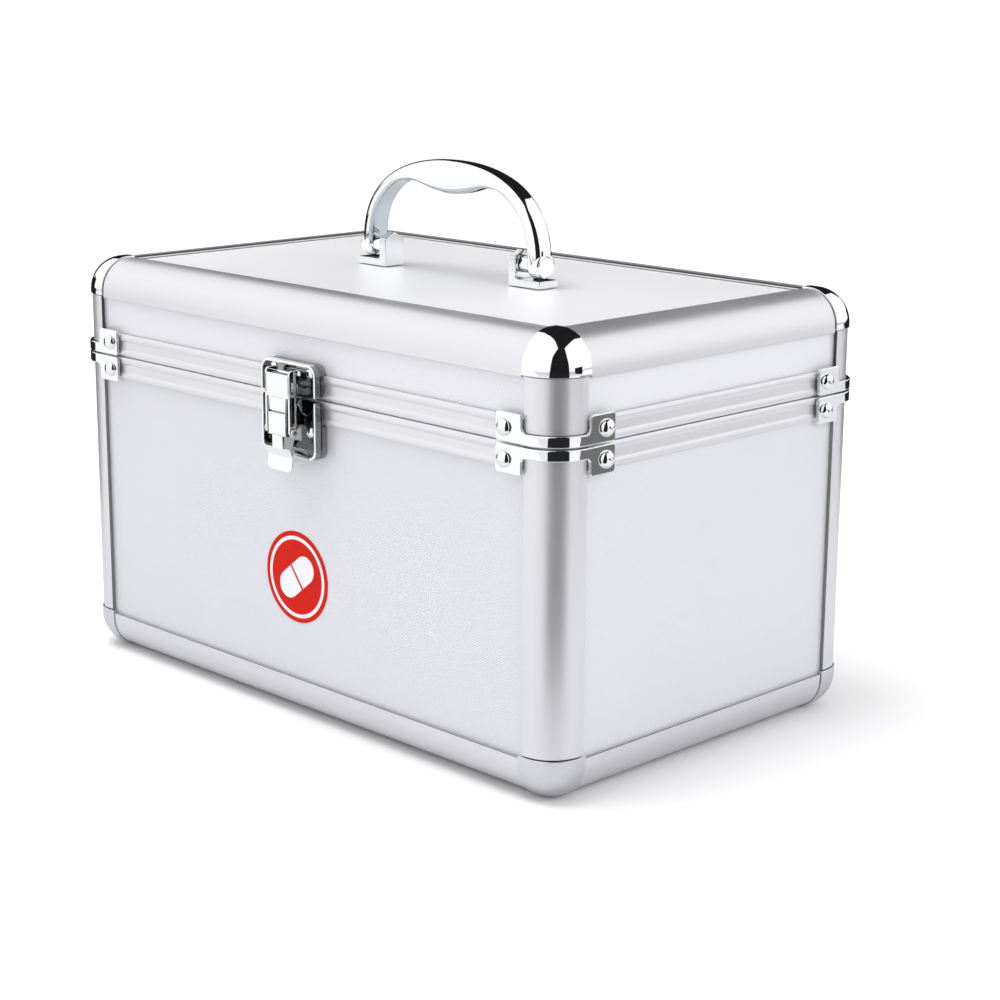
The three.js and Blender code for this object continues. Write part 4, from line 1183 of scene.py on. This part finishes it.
# %% [markdown]
# ## The sticker
# A round sticker marks the case as a place for medicines: a red disc with a white ring and a white
# capsule across it. The disc is a filled circle that is inset twice, and the ring's faces take the
# white finish. The capsule is two rounded halves with a thin red gap between them.

# %% Sticker
sticker_place = Vector((-0.5 * mm, front + 1.5 * mm, bottom + 50.8 * mm))
sticker_radius = 16.4 * mm
sticker_sheet = 0.2 * mm


def print_material(name, dark, light):
    return plain_material(name, 0.0, dark, light, (0.45, 0.6), (fine_depth, 0.2), 260, specular=0.05)


red_print = print_material("red_print", (0.58, 0.010, 0.004), (0.66, 0.020, 0.010))
white_print = print_material("white_print", (0.80, 0.81, 0.84), (0.86, 0.87, 0.89))


def sticker_disc(name):
    select_only()
    bpy.ops.mesh.primitive_circle_add(
        vertices=96,
        radius=sticker_radius,
        fill_type="NGON",
        location=sticker_place - Vector((0, sticker_sheet, 0)),
        rotation=(math.pi / 2, 0, 0),
    )
    piece = coated(settle(newest(name)), red_print, white_print)
    extruded(piece, (0, sticker_sheet, 0))
    pick(piece, "FACE", lambda c, n: n.y < -0.9)
    bpy.ops.mesh.inset(thickness=1.7 * mm, depth=0)
    bpy.ops.mesh.inset(thickness=1.3 * mm, depth=0)
    bpy.ops.object.mode_set(mode="OBJECT")
    far, near = sticker_radius - 1.8 * mm, sticker_radius - 2.9 * mm
    return painted(piece, lambda c, n: n.y < -0.9 and near < (c - sticker_place).xz.length < far)


def capsule_half(name, side):
    """One rounded half of the capsule, laid across the disc."""
    gap, body, radius = 0.5 * mm, 5.4 * mm, 4.9 * mm
    ring = [(gap, -radius), *arc((body, 0), radius, -90, 90, 24), (gap, radius)]
    lean = math.radians(38 if side > 0 else 218)
    along = Vector((math.cos(lean), 0, math.sin(lean)))
    aside = Vector((-along.z, 0, along.x))
    centre = sticker_place - Vector((0, sticker_sheet, 0))
    place = [centre + along * x + aside * z for x, z in ring]
    return coated(pushed(name, place, (0, -0.08 * mm, 0)), white_print)


sticker = joined("sticker", sticker_disc("disc"), capsule_half("capsule_a", 1), capsule_half("capsule_b", -1))
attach(sticker, "base")
print("sticker faces:", len(sticker.data.polygons))

# %% [markdown]
# ## The floor and the light
# A pale floor and a white surround light the case softly. The surround is white for the camera and in
# reflections, and a little lower for the light that it gives, so pale metal doesn't burn out. Dark
# boards, unseen by the camera, stand where a studio hangs them, to draw dark lines in the chrome.

# %% Floor and world
select_only()
bpy.ops.mesh.primitive_plane_add(size=8, location=(0, 0, 0))
floor = newest("floor")
floor_material, tree, shader = new_material("pale_floor", 0.0, 0.6, 0.1)
rays = node_with(tree, "LightPath", {}).outputs
tone = node_with(tree, "Mix", {"data_type": "RGBA"}, Factor=rays["Is Glossy Ray"], B=(0.68, 0.68, 0.7, 1))
floor_tones = (0.93, 0.93, 0.935), (0.95, 0.95, 0.955)
tone_between(tree, effect(tree, handling, Scale=3), *floor_tones, tone.inputs["A"])
feed(tree, shader.inputs["Base Color"], tone.outputs["Result"])
# For the camera alone the floor is lifted to white away from the case, so only a soft shadow shows
reach = node_with(tree, "VectorMath", {"operation": "LENGTH"}, place_on_object(tree)).outputs["Value"]
lift = node_with(tree, "MapRange", {}, Value=reach, From_Min=0.14, From_Max=0.9, To_Max=0.32)
shown = math_node(tree, "MULTIPLY", rays["Is Camera Ray"], lift.outputs["Result"])
glow = node_with(tree, "Emission", {}, Strength=shown)
lifted = node_with(tree, "AddShader", {}, shader.outputs["BSDF"], glow.outputs["Emission"])
feed(tree, tree.nodes["Material Output"].inputs["Surface"], lifted.outputs["Shader"])
coated(floor, floor_material)
floor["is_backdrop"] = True

surround_light, surround_seen = 0.80, 1.12
world = bpy.data.worlds.new("white_surround")
bpy.context.scene.world = world
world.use_nodes = True
tree = world.node_tree
rays = node_with(tree, "LightPath", {}).outputs
seen = math_node(tree, "MAXIMUM", rays["Is Camera Ray"], rays["Is Glossy Ray"])
seen = math_node(tree, "MAXIMUM", seen, rays["Is Transmission Ray"])
strength = node_with(tree, "MapRange", {}, Value=seen, To_Min=surround_light, To_Max=surround_seen)
ground = tree.nodes["Background"]
ground.inputs["Color"].default_value = (1, 1, 1, 1)
feed(tree, ground.inputs["Strength"], strength.outputs["Result"])

# %% [markdown]
# ## The lamps, boards and cloths
# Three soft lamps, left out of reflections, shape the case. Each dark board or bright cloth is an outline
# counted from the near corner, filled, and seen in reflections only.

# %% Lamps and dark boards
def soft_lamp(name, place, size, power):
    select_only()
    bpy.ops.object.light_add(type="AREA", location=place)
    lamp = bpy.context.object
    lamp.name = name
    lamp.data.shape = "DISK"
    lamp.data.size = size
    lamp.data.energy = power
    lamp.rotation_euler = (Vector((0, 0, 0.08)) - Vector(place)).to_track_quat("-Z", "Y").to_euler()
    lamp.visible_glossy = False


soft_lamp("lamp_above", (-0.3, -0.4, 1.6), 1.0, 14)
soft_lamp("lamp_left", (-1.2, -1.0, 0.9), 0.9, 1)
soft_lamp("lamp_right", (0.8, 0.1, 0.5), 0.5, 2)

dark_material, tree, shader = new_material("dark_board", 0.0, 0.9, 0.0)
dark_tones = (0.012, 0.012, 0.013), (0.02, 0.02, 0.022)
tone_between(tree, effect(tree, handling, Scale=40), *dark_tones, shader.inputs["Base Color"])


def from_corner(ahead, aside, height):
    """A place counted from the near corner: towards the camera, to its right, and up from the floor."""
    towards = Vector((math.sin(camera_heading), -math.cos(camera_heading), 0))
    rightwards = Vector((-towards.y, towards.x, 0))
    return Vector((right, front, height)) + towards * ahead + rightwards * aside


def sheet(name, corners, material):
    """A sheet that only reflections see."""
    piece = coated(filled(name, [from_corner(*corner) for corner in corners]), material)
    piece.visible_camera = piece.visible_diffuse = False
    piece.visible_transmission = piece.visible_shadow = False
    piece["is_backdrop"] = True


def at_height(height, *spots):
    return [(*spot, height) for spot in spots]


def bright_cloth(name, strength):
    """A cloth of an even brightness, with the slow unevenness of a stretched sheet."""
    material, tree, shader = new_material(name, 0.0, 0.8)
    folds = effect(tree, handling, Scale=1.5)
    shader.inputs["Base Color"].default_value = (0, 0, 0, 1)
    shader.inputs["Emission Color"].default_value = (1, 1, 1, 1)
    range_into(tree, folds, strength * 0.96, strength * 1.04, shader.inputs["Emission Strength"])
    return material


ceiling = 2.0
low = 0.004
wall_right = [(1.3, 1.75), (0.4, 1.95)]
wall_right_up = at_height(0, *wall_right) + at_height(0.32, *wall_right[::-1])
sheet("low_wall_right", wall_right_up, dark_material)
sheet("dark_right", at_height(low, (0.2, 0.85), (0.6, 0.85), *wall_right), dark_material)
gap_left = [(2.28, -0.59, ceiling), (2.28, -0.79, 0)]
gap_right = [(2.28, 1.69, 0), (2.1, 1.55, ceiling)]
sheet("gap_behind_camera", gap_left + gap_right, dark_material)
gap_flat = at_height(low, (0.1, -0.06), (0.1, 0.09), (2.28, 1.69), (2.28, -0.79))
sheet("gap_on_floor", gap_flat, dark_material)
beside = at_height(low, (0.16, 0.4), (-0.1, 0.4), (-0.17, 0.68), (0.22, 0.68))
sheet("shade_beside", beside, bright_cloth("shaded_cloth", 0.12))
behind = [(-0.28, -0.45), (-0.42, -0.9), (-0.9, -3.2), (-3.2, -3.2)]
behind += [(-3.2, 3.2), (-0.5, 1.6), (-0.34, 0.4), (-0.5, 0)]
sheet("dark_behind_table", at_height(low, *behind), dark_material)
sheet("low_wall", [(-3.2, -3.2, 0), (-3.2, 3.2, 0), (-3.2, 3.2, 0.5), (-3.2, -3.2, 0.5)], dark_material)
sheet("wall_left", [(-1.5, -3.1, 0), (-3.2, -3.2, 0), (-3.2, -3.2, 0.9), (-1.5, -3.1, 0.8)], dark_material)
above = [(2.28, -0.59), (0.82, 0.13), (-0.1, -0.12), (-1.4, -0.6), (-2.4, -0.75), (-3.0, -0.75)]
above += [(-3.0, 1.8), (-0.42, 1.1), (0.72, 0.73), (2.1, 1.55)]
sheet("dark_ceiling", at_height(ceiling, *above), dark_material)
rear_wall = [(-3.0, -0.15, 0.2), (-3.0, 0.7, 0.2), (-3.0, 1.8, 0.9), (-3.0, 1.8, ceiling)]
rear_wall += [(-3.0, -0.75, ceiling), (-3.0, -1.6, 1.6), (-3.0, -2.5, 0.9), (-3.0, -2.5, 0.2)]
sheet("dark_rear", rear_wall, dark_material)

bright = bright_cloth("bright_cloth", 1.12)
sheet("box_left", [(2.4, -0.86, 0), (-1.5, -3.0, 0), (-1.5, -3.0, 2.4), (2.4, -0.75, 2.4)], bright)
sheet("box_right", [(2.4, 1.85, 0), (-0.6, 3.0, 0.25), (-0.6, 3.0, 2.4), (2.2, 1.75, 2.4)], bright)
card_left = [(0.3, -0.15), (0.7, -1.6), (-0.15, -2.25), (-0.5, -2.35), (-0.35, -0.9), (-0.34, -0.42)]
sheet("card_front_left", at_height(low, *card_left, (0, -0.33)), bright_cloth("card", 1.02))
sheet("card_right", at_height(low, (0.12, 0.78), (-0.2, 0.78), (-0.5, 1.6), (0.25, 1.9)), bright)
bpy.context.scene.view_settings.view_transform = "Standard"

# %% [markdown]
# ## Close the lesson
# The dressed case is meant to fill the same box as the imported model, so both boxes are printed.

# %% Sizes
dressed_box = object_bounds()
for label, (low, high) in (("cad", cad_box), ("dressed", dressed_box)):
    print(label, "box, mm:", [round(v / mm, 2) for v in (*low, *high)])
